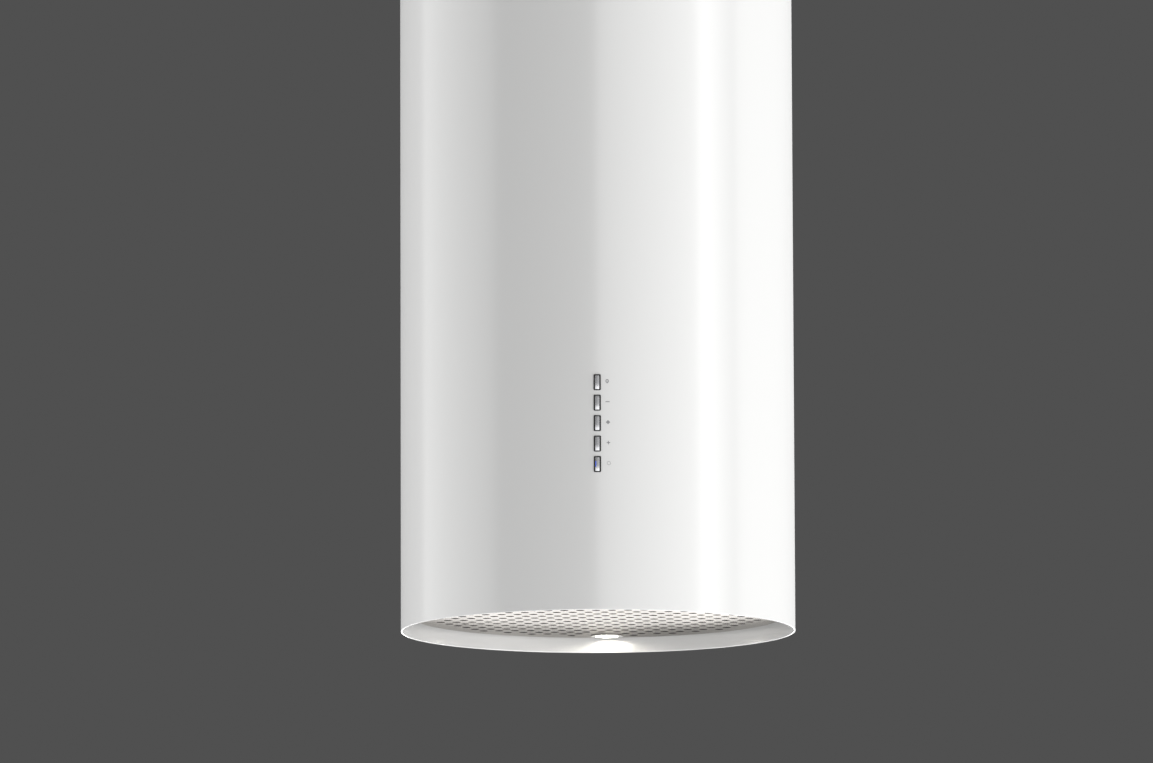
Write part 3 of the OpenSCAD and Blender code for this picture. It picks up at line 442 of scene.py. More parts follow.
# Pressure-cast aluminium: pale, mottled where the metal met the die.
CAST_ALUMINIUM = Metal("cast_aluminium", "B9BCBF", "A4A7AA", Pattern.CAST, 1.6, 0.42, 0.09, 0.01)
# Deep-drawn aluminium painted an even dark grey as shade, so the frame seen through the holes reads dark.
FILTER_FRAME_SHADE_ALUMINIUM = Metal("drawn_aluminium_painted_shade", "7C7E80", "6E7072", Pattern.CAST, 1.2, 0.5, 0.08, 0.004)
# Expanded aluminium foil, wound in layers: pale grey with many small bright edges.
FOIL_MESH = Metal("expanded_aluminium_mesh", "B0B2B4", "8F9193", Pattern.CAST, 1.0, 0.35, 0.1, 0.004)
# Varnished silicon-steel sheets, half a millimetre each: brown-grey with a fine ribbing.
LAMINATIONS = Metal(
    "varnished_laminations", "55504A", "7A746C", Pattern.STACKED, 0.5, 0.42, 0.08, 0.01, metallic=0.6
)
# Glass-epoxy board with copper below green mask: dark green, paler over the tracks.
CIRCUIT_BOARD = Finish("glass_epoxy_board", "14532D", "1F6B3C", Pattern.ETCHED, 1.0, 0.35, 0.06, 0.01)
# Natural polyamide: warm off-white with a soft gloss.
PALE_NYLON = Finish("pale_nylon", "D6D2C4", "CFCBBC", Pattern.MOULDED, 0.6, 0.5, 0.06, 0.01)
# Die-cast rim under nickel and chrome: bright, with a soft image.
LAMP_RIM = Metal("satin_nickel_rim", "DAD9D6", "CFCECB", Pattern.TURNED, 0.4, 0.2, 0.05, 0.001)
# Opal glass over the diodes: evenly white when the lamp is on.
OPAL_GLASS = Finish(
    "opal_glass", "F7F7F3", "FAFAF6", Pattern.SPRAYED, 3.0, 0.2, 0.03, glow="FFF8EC", strength=45.0
)
# Black nickel on sintered magnets: nearly black, with hard glints.
MAGNET_NICKEL = Metal(
    "nickelled_magnet", "2A2A2C", "343437", Pattern.CAST, 0.6, 0.32, 0.06, 0.003, metallic=0.8
)
# Tampo ink: flat grey.
PRINT_INK = Finish("grey_print_ink", "7E7F81", "868789", Pattern.MOULDED, 0.4, 0.5, 0.04)

SLOT_FINISH = {
    "white_enamel": WHITE_ENAMEL,
    "stainless_panel": BRUSHED_STEEL,
    "galvanised_steel": GALVANISED,
    "zinc_fasteners": ZINC_PLATE,
    "ground_steel": GROUND_STEEL,
    "black_gloss_plastic": GLOSS_ABS,
    "black_matte_plastic": GRAINED_PP,
    "satin_chrome": CHROMED_ABS,
    "indicator_blue": BLUE_GUIDE,
    "soft_rubber": RUBBER,
    "motor_grey": MOTOR_ENAMEL,
    "cast_aluminium": CAST_ALUMINIUM,
    "filter_mesh_layers": FOIL_MESH,
    "laminations": LAMINATIONS,
    "circuit_board": CIRCUIT_BOARD,
    "pale_plastic": PALE_NYLON,
    "lamp_white": LAMP_RIM,
    "lamp_diffuser": OPAL_GLASS,
    "magnet_black": MAGNET_NICKEL,
}

# The filter frame's dark grey is painted shade, standing in for the dim space above the panel.
NODE_FINISH = {"filter_frame": FILTER_FRAME_SHADE_ALUMINIUM}


# ---------- Geometry Nodes ----------


class Recipe:
    """A Geometry Nodes tree with named inputs, run once and turned into a plain mesh."""

    def __init__(self, name: str, plain: dict[str, float | int], lengths: dict[str, float]) -> None:
        """Starts the tree and declares its inputs.

        Args:
            name: Name of the tree.
            plain: Name and value of each count and angle; whole numbers become integer sockets.
            lengths: Name and value of each length in millimetres.
        """
        self.tree = bpy.data.node_groups.new(name, "GeometryNodeTree")
        self.values = plain | {label: length * MM for label, length in lengths.items()}
        self.sockets = {}
        for label, value in self.values.items():
            kind = "NodeSocketInt" if isinstance(value, int) else "NodeSocketFloat"
            item = self.tree.interface.new_socket(label, in_out="INPUT", socket_type=kind)
            self.sockets[label] = item.identifier
        self.tree.interface.new_socket("Geometry", in_out="OUTPUT", socket_type="NodeSocketGeometry")
        self.given = self.tree.nodes.new("NodeGroupInput").outputs

    def add(self, kind: str, inputs: dict | None = None, **settings: object) -> Node:
        """Adds a node to this tree, as add_node does."""
        return add_node(self.tree, kind, inputs, **settings)

    def math(self, operation: str, *values: object) -> NodeSocket:
        """Adds one sum and gives its result."""
        return self.add("ShaderNodeMath", dict(enumerate(values)), operation=operation).outputs[0]

    def vector(self, **parts: object) -> NodeSocket:
        """Puts a vector together from X, Y and Z; one that isn't given is 0."""
        return self.add("ShaderNodeCombineXYZ", parts).outputs[0]

    def distance(self, *places: NodeSocket) -> NodeSocket:
        """Measures from one place to another, or to the origin."""
        span = self.add("ShaderNodeVectorMath", dict(enumerate(places)), operation="DISTANCE")
        return span.outputs["Value"]

    def row_and_column(self, per_row: str) -> tuple[NodeSocket, NodeSocket]:
        """Counts each point's row and its column; an input holds the length of a row."""
        index = self.add("GeometryNodeInputIndex")
        row = self.math("FLOOR", self.math("DIVIDE", index, self.given[per_row]))
        return row, self.math("FLOORED_MODULO", index, self.given[per_row])

    def ring(self, steps: int, radius: str) -> Node:
        """Draws a circle; an input holds its radius."""
        sizes = {"Resolution": steps, "Radius": self.given[radius]}
        return self.add("GeometryNodeCurvePrimitiveCircle", sizes)

    def moved(self, geometry: Node, place: NodeSocket, **more: NodeSocket) -> Node:
        """Moves geometry to a place, and turns it where a Rotation is given."""
        return self.add("GeometryNodeTransform", {"Geometry": geometry, "Translation": place, **more})

    def joined(self, *parts: Node) -> Node:
        """Joins geometries."""
        whole = self.add("GeometryNodeJoinGeometry")
        for part in parts:
            self.tree.links.new(part.outputs[0], whole.inputs[0])
        return whole

    def run(
        self,
        result: Node,
        material: Material,
        part: Node | None = None,
        part_material: Material | None = None,
    ) -> Mesh:
        """Ends the tree, runs it and returns its mesh.

        Args:
            result: Gives the geometry to end with.
            material: What its faces are made of.
            part: Selects faces that have another finish.
            part_material: The finish of those faces.

        Returns:
            A plain mesh.
        """
        real = self.add("GeometryNodeRealizeInstances", {0: result})
        dressed = self.add("GeometryNodeSetMaterial", {"Geometry": real, "Material": material})
        if part is not None:
            second = {"Geometry": dressed, "Selection": part, "Material": part_material}
            dressed = self.add("GeometryNodeSetMaterial", second)
        self.add("NodeGroupOutput", {0: dressed})
        carrier = bpy.data.objects.new("carrier", bpy.data.meshes.new("carrier"))
        bpy.context.scene.collection.objects.link(carrier)
        modifier = carrier.modifiers.new("recipe", "NODES")
        modifier.node_group = self.tree
        for label, identifier in self.sockets.items():
            modifier[identifier] = self.values[label]
        mesh = evaluated_mesh(carrier)
        bpy.data.objects.remove(carrier)
        if mesh.materials[0] is None:
            mesh.materials.pop(index=0)
        return mesh


# ---------- Tubes ----------


@dataclass
class Tubes:
    """The enamelled hood tube and the upper tube that slides over the ceiling frame."""

    wall: float = 1.2
    rim_round: float = 0.5
    rim_steps: int = 4
    upper_wall: float = 1.0
    upper_round: float = 0.35
    upper_steps: int = 360
    support: float = 0.4
    columns: int = 407
    slot_count: int = 5
    slot_height: float = 13.1
    stud_r: float = 2.0
    stud_length: float = 15.5
    stud_inset: float = 6.0
    stud_sink: float = 0.3

    def hood_rows(self) -> tuple[list[float], Outline]:
        """Gives the heights of the hood tube's rows and the spans of its button slots."""
        low, high, _ = box_mm("lower_tube")
        bottom, top = box_mm("button_1")[2].z, box_mm("button_5")[2].z
        half = self.slot_height / 2
        pitch = (top - bottom) / (self.slot_count - 1)
        middles = [bottom + i * pitch for i in range(self.slot_count)]
        slots = [(m - half, m + half) for m in middles]
        start, end = low.z + self.rim_round, high.z - self.rim_round
        rows = [start, start + self.support, end - self.support, end]
        rows += [height for slot in slots for height in slot]
        return sorted(rows), slots

    def hood_tube(self) -> Mesh:
        """Builds the hood tube with its rounded rims and the five slots of the buttons."""
        low, high, _ = box_mm("lower_tube")
        outer, inner, r = high.x, high.x - self.wall, self.rim_round
        rows, slots = self.hood_rows()
        shape = bmesh.new()
        turns = [-math.pi / 2 + math.tau * i / self.columns for i in range(self.columns)]

        def ring_at(radius: float, height: float) -> list[BMVert]:
            """Adds one ring of points."""
            return [shape.verts.new((radius * math.cos(a), radius * math.sin(a), height)) for a in turns]

        walls = [[ring_at(radius, height) for height in rows] for radius in (outer, inner)]
        hole = [self.columns - 1, 0, 1]
        for j, span in enumerate(zip(rows, rows[1:])):
            for wall in walls:
                bridge(shape, wall[j], wall[j + 1], hole[:2] if span in slots else ())
            if span in slots:
                border = [(j, i) for i in hole] + [(j + 1, i) for i in hole[::-1]]
                bridge(shape, *([wall[row][i] for row, i in border] for wall in walls))
        quarter = [math.pi / 2 * k / self.rim_steps for k in range(1, self.rim_steps + 1)]
        bend = [(outer - r + r * math.cos(a), r - r * math.sin(a)) for a in quarter]
        bend += [(inner + r - r * math.cos(a), r - r * math.sin(a)) for a in quarter[::-1]]
        for row, edge, way in ((0, low.z, 1), (-1, high.z, -1)):
            rings = [ring_at(radius, edge + way * lift) for radius, lift in bend]
            rings = [walls[0][row], *rings, walls[1][row]]
            for first, second in zip(rings, rings[1:]):
                bridge(shape, first, second)
        return mesh_of(shape)

    def upper_tube(self) -> Mesh:
        """Builds the plain upper tube."""
        low, high, _ = box_mm("upper_tube")
        inner, outer, bottom, top = high.x - self.upper_wall, high.x, low.z, high.z
        s = self.support
        corners = [(inner, bottom), (outer, bottom), (outer, top), (inner, top)]
        rounded = filleted(corners, self.upper_round)
        half = len(rounded) // 2
        profile = [(inner, bottom + s), *rounded[:half], (outer, bottom + s)]
        profile += [(outer, top - s), *rounded[half:], (inner, top - s)]
        shape = bmesh.new()
        add_lathe(shape, profile, self.upper_steps)
        return mesh_of(shape)

    def weld_studs(self) -> Mesh:
        """Builds the two studs inside the hood tube that carry the control box."""
        low, high, _ = box_mm("control_box")
        start = box_mm("lower_tube")[0].y + self.wall - self.stud_sink
        inwards = Matrix.Rotation(-math.pi / 2, 4, "X")
        shape = bmesh.new()
        for height in (low.z + self.stud_inset, high.z - self.stud_inset):
            place = Matrix.Translation((0, start, height)) @ inwards
            add_plate(shape, [circle(self.stud_r, 20)], self.stud_length, place)
        return mesh_of(shape)

    def build(self) -> None:
        """Makes both tubes and lets them ride."""
        enamel = WHITE_ENAMEL.material()
        hood = make_piece("hood_tube_enamel", self.hood_tube(), enamel)
        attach(hood, "hood")
        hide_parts("lower_tube")
        studs = make_piece("control_box_studs", self.weld_studs(), ZINC_PLATE.material())
        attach(studs, "hood")
        upper = make_piece("upper_tube_enamel", self.upper_tube(), enamel)
        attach(upper, "root")
        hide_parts("upper_tube")
        for piece in (hood, studs, upper):
            LOG.info("%s: %d faces", piece.name, len(piece.data.polygons))


# ---------- Buttons ----------


class Symbol(Enum):
    """What is printed beside a button, from the lowest up."""

    TIMER = "dotted ring"
    MORE = "plus"
    FAN = "four-lobed fan"
    LESS = "minus"
    LIGHT = "ring of the lamp"


@dataclass
class ButtonColumn:
    """Five push buttons in black surrounds, with their printed symbols."""

    count: int = 5
    face_w: float = 3.4
    face_h: float = 12.1
    crown: float = 0.9
    crown_along: float = 0.96
    crown_across: float = 0.04
    surround_w: float = 6.3
    surround_h: float = 14.0
    surround_lip: float = 0.5
    surround_round: float = 0.22
    gap: float = 0.3
    pass_gap: float = 0.4
    flange_w: float = 4.9
    flange_h: float = 12.8
    flange_t: float = 0.8
    stem_w: float = 2.4
    stem_h: float = 6.0
    bar_round: float = 0.28
    symbol_size: float = 3.5
    symbol_offset: float = 9.9
    symbol_lean: float = 0.3
    symbol_rise: float = 0.9
    stroke: float = 0.68
    dot_r: float = 0.33
    ink: float = 0.03
    ink_lift: float = 0.01

    def middle(self, number: int) -> Vector:
        """Gives the middle of a button on the tube's front, counted from 1."""
        return Vector((0, box_mm("lower_tube")[0].y, box_mm(f"button_{number}")[2].z))

    def outward(self, middle: Vector, back: float = 0) -> Matrix:
        """Gives a placement, set back from the middle, with Y up and Z out of the tube."""
        out = Matrix.Translation(middle) @ Matrix.Rotation(math.pi / 2, 4, "X")
        return out @ Matrix.Translation((0, 0, -back))

    def surrounds(self) -> Object:
        """Builds the five surrounds in one piece."""
        low, high, _ = box_mm("button_bezels")
        shape = bmesh.new()
        opening = round_rect(self.face_w + 2 * self.gap, self.face_h + 2 * self.gap, 0.4)
        lips = 2 * self.surround_lip
        face = round_rect(self.surround_w, self.surround_h, 1.0)
        neck = round_rect(self.surround_w - lips, self.surround_h - lips, 0.6)
        for number in range(1, self.count + 1):
            middle = self.middle(number)
            depth = high.y - middle.y
            add_plate(shape, [face, opening], middle.y - low.y, self.outward(middle))
            add_plate(shape, [neck, opening], depth, self.outward(middle, depth))
        piece = make_piece("button_surrounds", mesh_of(shape), GLOSS_ABS.material())
        soften(piece, self.surround_round)
        return piece

    def crowned_face(self, shape: BMesh, out: Matrix, proud: float, depth: float) -> None:
        """Adds the visible bar of a button, crowned along its height.

        Args:
            shape: The bmesh that takes it.
            out: The button's placement.
            proud: How far its edges stand out of the tube.
            depth: How far it reaches into the tube.
        """
        columns, rows = 8, 24
        w, h = self.face_w / 2, self.face_h / 2
        grid = []
        for j in range(rows + 1):
            v = -1 + 2 * j / rows
            line = []
            for i in range(columns + 1):
                u = -1 + 2 * i / columns
                rise = proud - self.crown * (self.crown_along * v * v + self.crown_across * u * u)
                line.append(shape.verts.new(out @ Vector((u * w, v * h, rise))))
            grid.append(line)
        for lower, upper in zip(grid, grid[1:]):
            for i in range(columns):
                shape.faces.new([lower[i], lower[i + 1], upper[i + 1], upper[i]])
        border = grid[0] + [line[-1] for line in grid[1:]] + grid[-1][-2::-1]
        border += [line[0] for line in grid[-2:0:-1]]
        inverse = out.inverted()
        spots = [(inverse @ corner.co).xy for corner in border]
        foot = [shape.verts.new(out @ Vector((*spot, -depth))) for spot in spots]
        bridge(shape, border, foot)
        shape.faces.new(foot)

    def button(self, number: int) -> Object:
        """Builds one button: its crowned bar, retaining flange and stem.

        Args:
            number: Which button, counted from 1 at the bottom.

        Returns:
            The button as a piece.
        """
        low, high, _ = box_mm(f"button_{number}")
        middle = self.middle(number)
        flange_front = box_mm("button_bezels")[1].y - middle.y + self.pass_gap
        flange_back = flange_front + self.flange_t
        end = high.y - middle.y
        shape = bmesh.new()
        self.crowned_face(shape, self.outward(middle), middle.y - low.y, flange_front)
        flange = round_rect(self.flange_w, self.flange_h, 0.4)
        add_plate(shape, [flange], self.flange_t, self.outward(middle, flange_back))
        stem = round_rect(self.stem_w, self.stem_h, 0.2)
        add_plate(shape, [stem], end - flange_back, self.outward(middle, end))
        piece = make_piece(f"button_bar_{number}", mesh_of(shape), CHROMED_ABS.material())
        soften(piece, self.bar_round, 4, 50)
        return piece

    def symbol_loops(self, symbol: Symbol) -> list[list[Outline]]:
        """Draws one symbol flat, about the origin.

        Args:
            symbol: Which one.

        Returns:
            Its printed shapes, each as an outline and then its holes.
        """
        r = self.symbol_size / 2
        s = self.stroke / 2
        if symbol is Symbol.LESS:
            return [[[(-r, -s), (r, -s), (r, s), (-r, s)]]]
        if symbol is Symbol.MORE:
            reach = 0.88 * r
            arm = [(s, s), (s, reach), (-s, reach), (-s, s)]
            turned = [[(x, y), (-y, x), (-x, -y), (y, -x)] for x, y in arm]
            return [[[corner[i] for i in range(4) for corner in turned]]]
        if symbol is Symbol.TIMER:
            return [[circle(self.dot_r, 10, dot)] for dot in circle(r * 0.86, 10)]
        if symbol is Symbol.FAN:
            lobe_r = r * 0.42
            hole_r = lobe_r - self.stroke * 0.8
            return [[circle(lobe_r, 16, lobe), circle(hole_r, 14, lobe)] for lobe in circle(r * 0.55, 4)]
        ring_r, cap_w, cap_y = 0.8 * r, r * 0.3, r * 0.8
        sizes = (ring_r, ring_r - self.stroke)
        ring = [[(x, 1.15 * y + 0.15 * r) for x, y in circle(size, 24)] for size in sizes]
        return [ring, [[(-cap_w, -r), (cap_w, -r), (cap_w, -cap_y), (-cap_w, -cap_y)]]]

    def symbols(self) -> Object:
        """Prints the symbols on the tube, bent to its curve."""
        radius = -box_mm("lower_tube")[0].y
        shape = bmesh.new()
        for number, symbol in enumerate(Symbol, start=1):
            height = self.middle(number).z + self.symbol_rise
            offset = self.symbol_offset - self.symbol_lean * (number - 1)
            for loops in self.symbol_loops(symbol):
                corners = add_plate(shape, loops, self.ink, Matrix.Identity(4))
                for corner in corners:
                    turn = (corner.co.x + offset) / radius - math.pi / 2
                    reach = radius + self.ink_lift + corner.co.z
                    rise = height + corner.co.y
                    corner.co = Vector((reach * math.cos(turn), reach * math.sin(turn), rise))
        bmesh.ops.recalc_face_normals(shape, faces=shape.faces)
        bmesh.ops.scale(shape, vec=(MM, MM, MM), verts=shape.verts)
        return make_piece("printed_symbols", plain_mesh(shape), PRINT_INK.material())

    def build(self) -> None:
        """Makes the whole column and lets each button ride on its own body."""
        surrounds = self.surrounds()
        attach(surrounds, "hood")
        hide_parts("button_bezels")
        for number in range(1, self.count + 1):
            bar = self.button(number)
            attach(bar, f"button_{number}")
            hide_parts(f"button_{number}")
        symbols = self.symbols()
        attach(symbols, "hood")
        LOG.info("button column: %d buttons, %d symbols", self.count, len(Symbol))


# ---------- Underside ----------


@dataclass
class PunchedPanel:
    """The stainless steel panel below the filter, punched with staggered round holes."""

    sheet: float = 0.8
    bend: float = 1.2
    lip: float = 5.0
    hole: float = 7.5
    pitch: float = 14.1
    row_pitch: float = 14.4
    border: float = 14.0
    turn_deg: float = -1.6
    lamp_clear: float = 23.5
    lamp_hole: float = 12.7
    hole_steps: int = 24
    lamp_steps: int = 48
    edge_steps: int = 256
    weld: float = 0.02
    bend_support: float = 0.4
    ear_x: float = 45.9
    ear_t: float = 2.0
    ear_r: float = 3.9
    ear_sink: float = 0.2
    foot_w: float = 10.0
    foot_t: float = 1.4
    foot_back: float = 1.5
    foot_over: float = 3.0
    pin_hole: float = 1.54

    def punched_sheet(self) -> Mesh:
        """Punches the sheet: staggered places, a circle at each, and the sheet filled around them.

        Returns:
            The sheet as a closed mesh.
        """
        low, high, _ = box_mm("perforated_panel")
        lamp_x, lamp_y = box_mm("lamp_lens")[2].xy
        field_r = high.x - self.border - self.hole / 2
        rows = int(field_r / self.row_pitch) + 1
        columns = int(field_r / self.pitch) + 1
        wide = 2 * columns + 1
        counts = {"Columns": wide, "Places": wide * (2 * rows + 1)}
        lengths = {
            "Pitch": self.pitch,
            "Row pitch": self.row_pitch,
            "Field radius": field_r,
            "Hole radius": self.hole / 2,
            "Sheet radius": high.x - self.bend,
            "Sheet thickness": self.sheet,
            "Lamp X": lamp_x,
            "Lamp Y": lamp_y,
            "Lamp hole radius": self.lamp_hole,
            "Lamp clear radius": self.lamp_clear,
            "Height": low.z,
        }
        r = Recipe("punched_sheet", counts | {"Turn": math.radians(self.turn_deg)}, lengths)
        given = r.given
        row, column = r.row_and_column("Columns")
        row_from_middle = r.math("SUBTRACT", row, float(rows))
        odd = r.math("FLOORED_MODULO", r.math("ABSOLUTE", row_from_middle), 2.0)
        column_from_middle = r.math("SUBTRACT", column, float(columns))
        shifted = r.math("ADD", column_from_middle, r.math("MULTIPLY", odd, 0.5))
        across = r.math("MULTIPLY", shifted, given["Pitch"])
        along = r.math("MULTIPLY", row_from_middle, given["Row pitch"])
        flat = {"Vector": r.vector(X=across, Y=along), "Angle": given["Turn"]}
        turned = r.add("ShaderNodeVectorRotate", flat, rotation_type="Z_AXIS").outputs[0]
        lamp = r.vector(X=given["Lamp X"], Y=given["Lamp Y"])
        outside = r.math("GREATER_THAN", r.distance(turned), given["Field radius"])
        near_lamp = r.math("LESS_THAN", r.distance(turned, lamp), given["Lamp clear radius"])
        places = r.add("GeometryNodePoints", {"Count": given["Places"], "Position": turned})
        unwanted = {"Geometry": places, "Selection": r.math("MAXIMUM", outside, near_lamp)}
        kept = r.add("GeometryNodeDeleteGeometry", unwanted)
        punch = {"Points": kept, "Instance": r.ring(self.hole_steps, "Hole radius")}
        holes = r.add("GeometryNodeInstanceOnPoints", punch)
        edge = r.ring(self.edge_steps, "Sheet radius")
        lamp_edge = r.moved(r.ring(self.lamp_steps, "Lamp hole radius"), lamp)
        outlines = r.joined(lamp_edge, edge, r.add("GeometryNodeRealizeInstances", {0: holes}))
        filled = r.add("GeometryNodeFillCurve", {"Curve": outlines})
        rise = {"Offset": r.vector(Z=1.0), "Offset Scale": given["Sheet thickness"]}
        raised = r.add("GeometryNodeExtrudeMesh", {"Mesh": filled, **rise, "Individual": False})
        # Marks the hole walls, whose steel is painted dark to stand in for the shade inside the holes.
        painted_shade_walls = r.add(
            "GeometryNodeStoreNamedAttribute",
            {"Geometry": raised, "Name": "painted_shade_walls", "Value": raised.outputs["Side"]},
            data_type="BOOLEAN",
            domain="FACE",
        )
        both = r.joined(r.add("GeometryNodeFlipFaces", {"Mesh": filled}), painted_shade_walls)
        welded = r.add("GeometryNodeMergeByDistance", {"Geometry": both, "Distance": self.weld * MM})
        placed = r.moved(welded, r.vector(Z=given["Height"]))
        walls = r.add("GeometryNodeInputNamedAttribute", {"Name": "painted_shade_walls"}, data_type="BOOLEAN")
        return r.run(placed, BRUSHED_STEEL.material(), walls, HOLE_WALL_SHADE_STEEL.material())

    def edge_profile(self) -> Outline:
        """Gives the section of the bent-up edge, up its outside and down its inside."""
        low, high, _ = box_mm("perforated_panel")
        inner = self.bend - self.sheet
        middle, height = high.x - self.bend, low.z + self.bend

        def bent(r: float, steps: int) -> Outline:
            """Gives a quarter turn, from below the bend's middle to beside it."""
            turns = [math.pi / 2 * k / steps for k in range(steps + 1)]
            return [(middle + r * math.sin(a), height - r * math.cos(a)) for a in turns]

        straight, top, wall = height + self.bend_support, low.z + self.lip, high.x - self.sheet
        profile = [*bent(self.bend, 6), (high.x, straight), (high.x, top)]
        return profile + [(wall, top), (wall, straight), *bent(inner, 4)[::-1]]

    def edge_and_ears(self) -> Mesh:
        """Builds the bent-up edge and the two hinge ears.

        Returns:
            The edge and the ears.
        """
        shape = bmesh.new()
        add_lathe(shape, self.edge_profile(), self.edge_steps)
        hinge = box_mm("hinge_pins")[2]
        sunk = box_mm("perforated_panel")[0].z + self.sheet - self.ear_sink
        drop = hinge.z - sunk
        turns = [math.pi * k / 16 for k in range(17)]
        outline = [(self.ear_r * math.cos(a), self.ear_r * math.sin(a)) for a in turns]
        outline += [(-self.ear_r, -drop), (self.ear_r, -drop)]
        upright = Matrix(((0, 0, 1, 0), (1, 0, 0, 0), (0, 1, 0, 0), (0, 0, 0, 1)))
        foot = round_rect(self.foot_w, self.ear_r + self.foot_over, 1.0)
        for side, start in ((-1, -self.ear_x - self.ear_t), (1, self.ear_x)):
            place = Matrix.Translation((start, hinge.y, hinge.z)) @ upright
            add_plate(shape, [outline, circle(self.pin_hole, 20)], self.ear_t, place)
            spot = (side * (self.ear_x + self.foot_w / 2), hinge.y - self.foot_back, sunk)
            add_plate(shape, [foot], self.foot_t, Matrix.Translation(spot))
        return mesh_of(shape)

    def build(self) -> None:
        """Makes the panel as one piece that rides on the hinged body."""
        shape = bmesh.new()
        for mesh in (self.punched_sheet(), self.edge_and_ears()):
            shape.from_mesh(mesh)
        mesh = plain_mesh(shape)
        # The second finish is the hole-wall steel, painted dark as shade.
        for finish in (BRUSHED_STEEL, HOLE_WALL_SHADE_STEEL):
            mesh.materials.append(finish.material())
        panel = make_piece("punched_steel_panel", mesh, None, 40)
        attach(panel, "panel")
        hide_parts("perforated_panel")
        LOG.info("%s: %d faces", panel.name, len(panel.data.polygons))


@dataclass
class GreaseFilter:
    """Layers of expanded aluminium mesh in the round filter frame."""

    strand: float = 0.35
    diamond_w: float = 7.0
    diamond_h: float = 4.4
    swing: float = 0.86
    inset: float = 1.2
    layer_inset: float = 0.6

    def layer(self, height: float, turn: float) -> Mesh:
        """Builds one layer of diamonds from zigzag strands.

        Args:
            height: Height of the layer.
            turn: How far it is turned, in radians.

        Returns:
            The layer's mesh.
        """
        _, high, centre = box_mm("filter_mesh")
        radius = high.x - centre.x - self.inset
        strands = int(2 * radius / self.diamond_h) + 1
        bends = int(4 * radius / self.diamond_w) + 2
        lengths = {
            "Step": self.diamond_w / 2,
            "Spacing": self.diamond_h,
            "Strand radius": self.strand,
            "Radius": radius,
            "X": centre.x,
            "Y": centre.y,
            "Z": height,
        }
        r = Recipe("expanded_mesh", {"Bends": bends, "Points": bends * strands, "Turn": turn}, lengths)
        given = r.given
        row, bend = r.row_and_column("Bends")
        up = r.math("SUBTRACT", r.math("FLOORED_MODULO", r.math("ADD", row, bend), 2.0), 0.5)
        x = r.math("MULTIPLY", r.math("SUBTRACT", bend, bends / 2), given["Step"])
        from_middle = r.math("SUBTRACT", row, strands / 2)
        swung = r.math("ADD", from_middle, r.math("MULTIPLY", up, self.swing))
        place = r.vector(X=x, Y=r.math("MULTIPLY", swung, given["Spacing"]))
        points = r.add("GeometryNodePoints", {"Count": given["Points"], "Position": place})
        strand = {"Geometry": points, "Name": "strand", "Value": row}
        marked = r.add("GeometryNodeStoreNamedAttribute", strand, data_type="FLOAT", domain="POINT")
        far = r.math("GREATER_THAN", r.distance(place), given["Radius"])
        kept = r.add("GeometryNodeDeleteGeometry", {"Geometry": marked, "Selection": far})
        group = r.add("GeometryNodeInputNamedAttribute", {"Name": "strand"}, data_type="FLOAT")
        lines = r.add("GeometryNodePointsToCurves", {"Points": kept, "Curve Group ID": group})
        wire = {"Curve": lines, "Profile Curve": r.ring(4, "Strand radius"), "Fill Caps": True}
        wires = r.add("GeometryNodeCurveToMesh", wire)
        spot = r.vector(X=given["X"], Y=given["Y"], Z=given["Z"])
        return r.run(r.moved(wires, spot, Rotation=r.vector(Z=given["Turn"])), FOIL_MESH.material())

    def build(self) -> None:
        """Stacks the layers and lets them ride with the panel."""
        low, high, centre = box_mm("filter_mesh")
        shape = bmesh.new()
        for i, height in enumerate((low.z + self.layer_inset, centre.z, high.z - self.layer_inset)):
            shape.from_mesh(self.layer(height, i * math.pi / 3))
        layers = make_piece("filter_mesh_layers", plain_mesh(shape), FOIL_MESH.material(), 60)
        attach(layers, "panel")
        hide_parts("filter_mesh")
        LOG.info("%s: %d faces", layers.name, len(layers.data.polygons))


@dataclass
class Lamp:
    """The round lamp behind the middle of the panel."""

    drop: float = 1.0
    seen_r: float = 10.2
    rim_inset: float = 0.5
    rim_round: float = 0.35
    neck_inset: float = 2.4
    neck_wall: float = 1.0
    collar_low: float = 0.85
    collar_high: float = 0.6
    collar_overlap: float = 0.1
    lens_crown: float = 1.6
    lens_proud: float = 1.1
    lens_steps: int = 8

    def rim(self) -> Mesh:
        """Builds the rim: a thin rounded flange below the panel and a neck through it."""
        low, high, middle = box_mm("lamp_bezel")
        outer = (high.x - low.x) / 2
        edge, neck = outer - self.rim_inset, outer - self.neck_inset
        bore, seen_r, face = neck - self.neck_wall, self.seen_r, low.z + self.drop
        outside = [(seen_r, low.z), (edge, low.z), (edge, face), (neck, face), (neck, high.z)]
        profile = outside + [(bore, high.z), (bore, face), (seen_r, face)]
        shape = bmesh.new()
        add_lathe(shape, filleted(profile, self.rim_round, 3), 96, tuple(middle.xy))
        start, bottom, top = neck - self.collar_overlap, face + self.collar_low, high.z - self.collar_high
        collar = [(start, bottom), (outer, bottom), (outer, top), (start, top)]
        add_lathe(shape, collar, 96, tuple(middle.xy))
        return mesh_of(shape)

    def lens(self) -> Mesh:
        """Builds the opal lens, a little crowned downwards."""
        low, high, middle = box_mm("lamp_lens")
        radius = (high.x - low.x) / 2
        tip = low.z - self.lens_proud
        steps = [1 - k / self.lens_steps for k in range(self.lens_steps + 1)]
        profile = [(0, high.z), (radius, high.z)]
        profile += [(radius * t, tip + self.lens_crown * t * t) for t in steps]
        shape = bmesh.new()
        add_lathe(shape, profile, 72, tuple(middle.xy))
        return mesh_of(shape)

    def build(self) -> None:
        """Makes the rim and the lens, which ride with the panel."""
        rim = make_piece("lamp_rim", self.rim(), LAMP_RIM.material(), 50)
        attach(rim, "panel")
        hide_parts("lamp_bezel")
        lens = make_piece("lamp_opal_lens", self.lens(), OPAL_GLASS.material(), 50)
        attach(lens, "panel")
        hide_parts("lamp_lens")
        LOG.info("lamp: rim %d faces, lens %d faces", len(rim.data.polygons), len(lens.data.polygons))


# ---------- Frame parts ----------


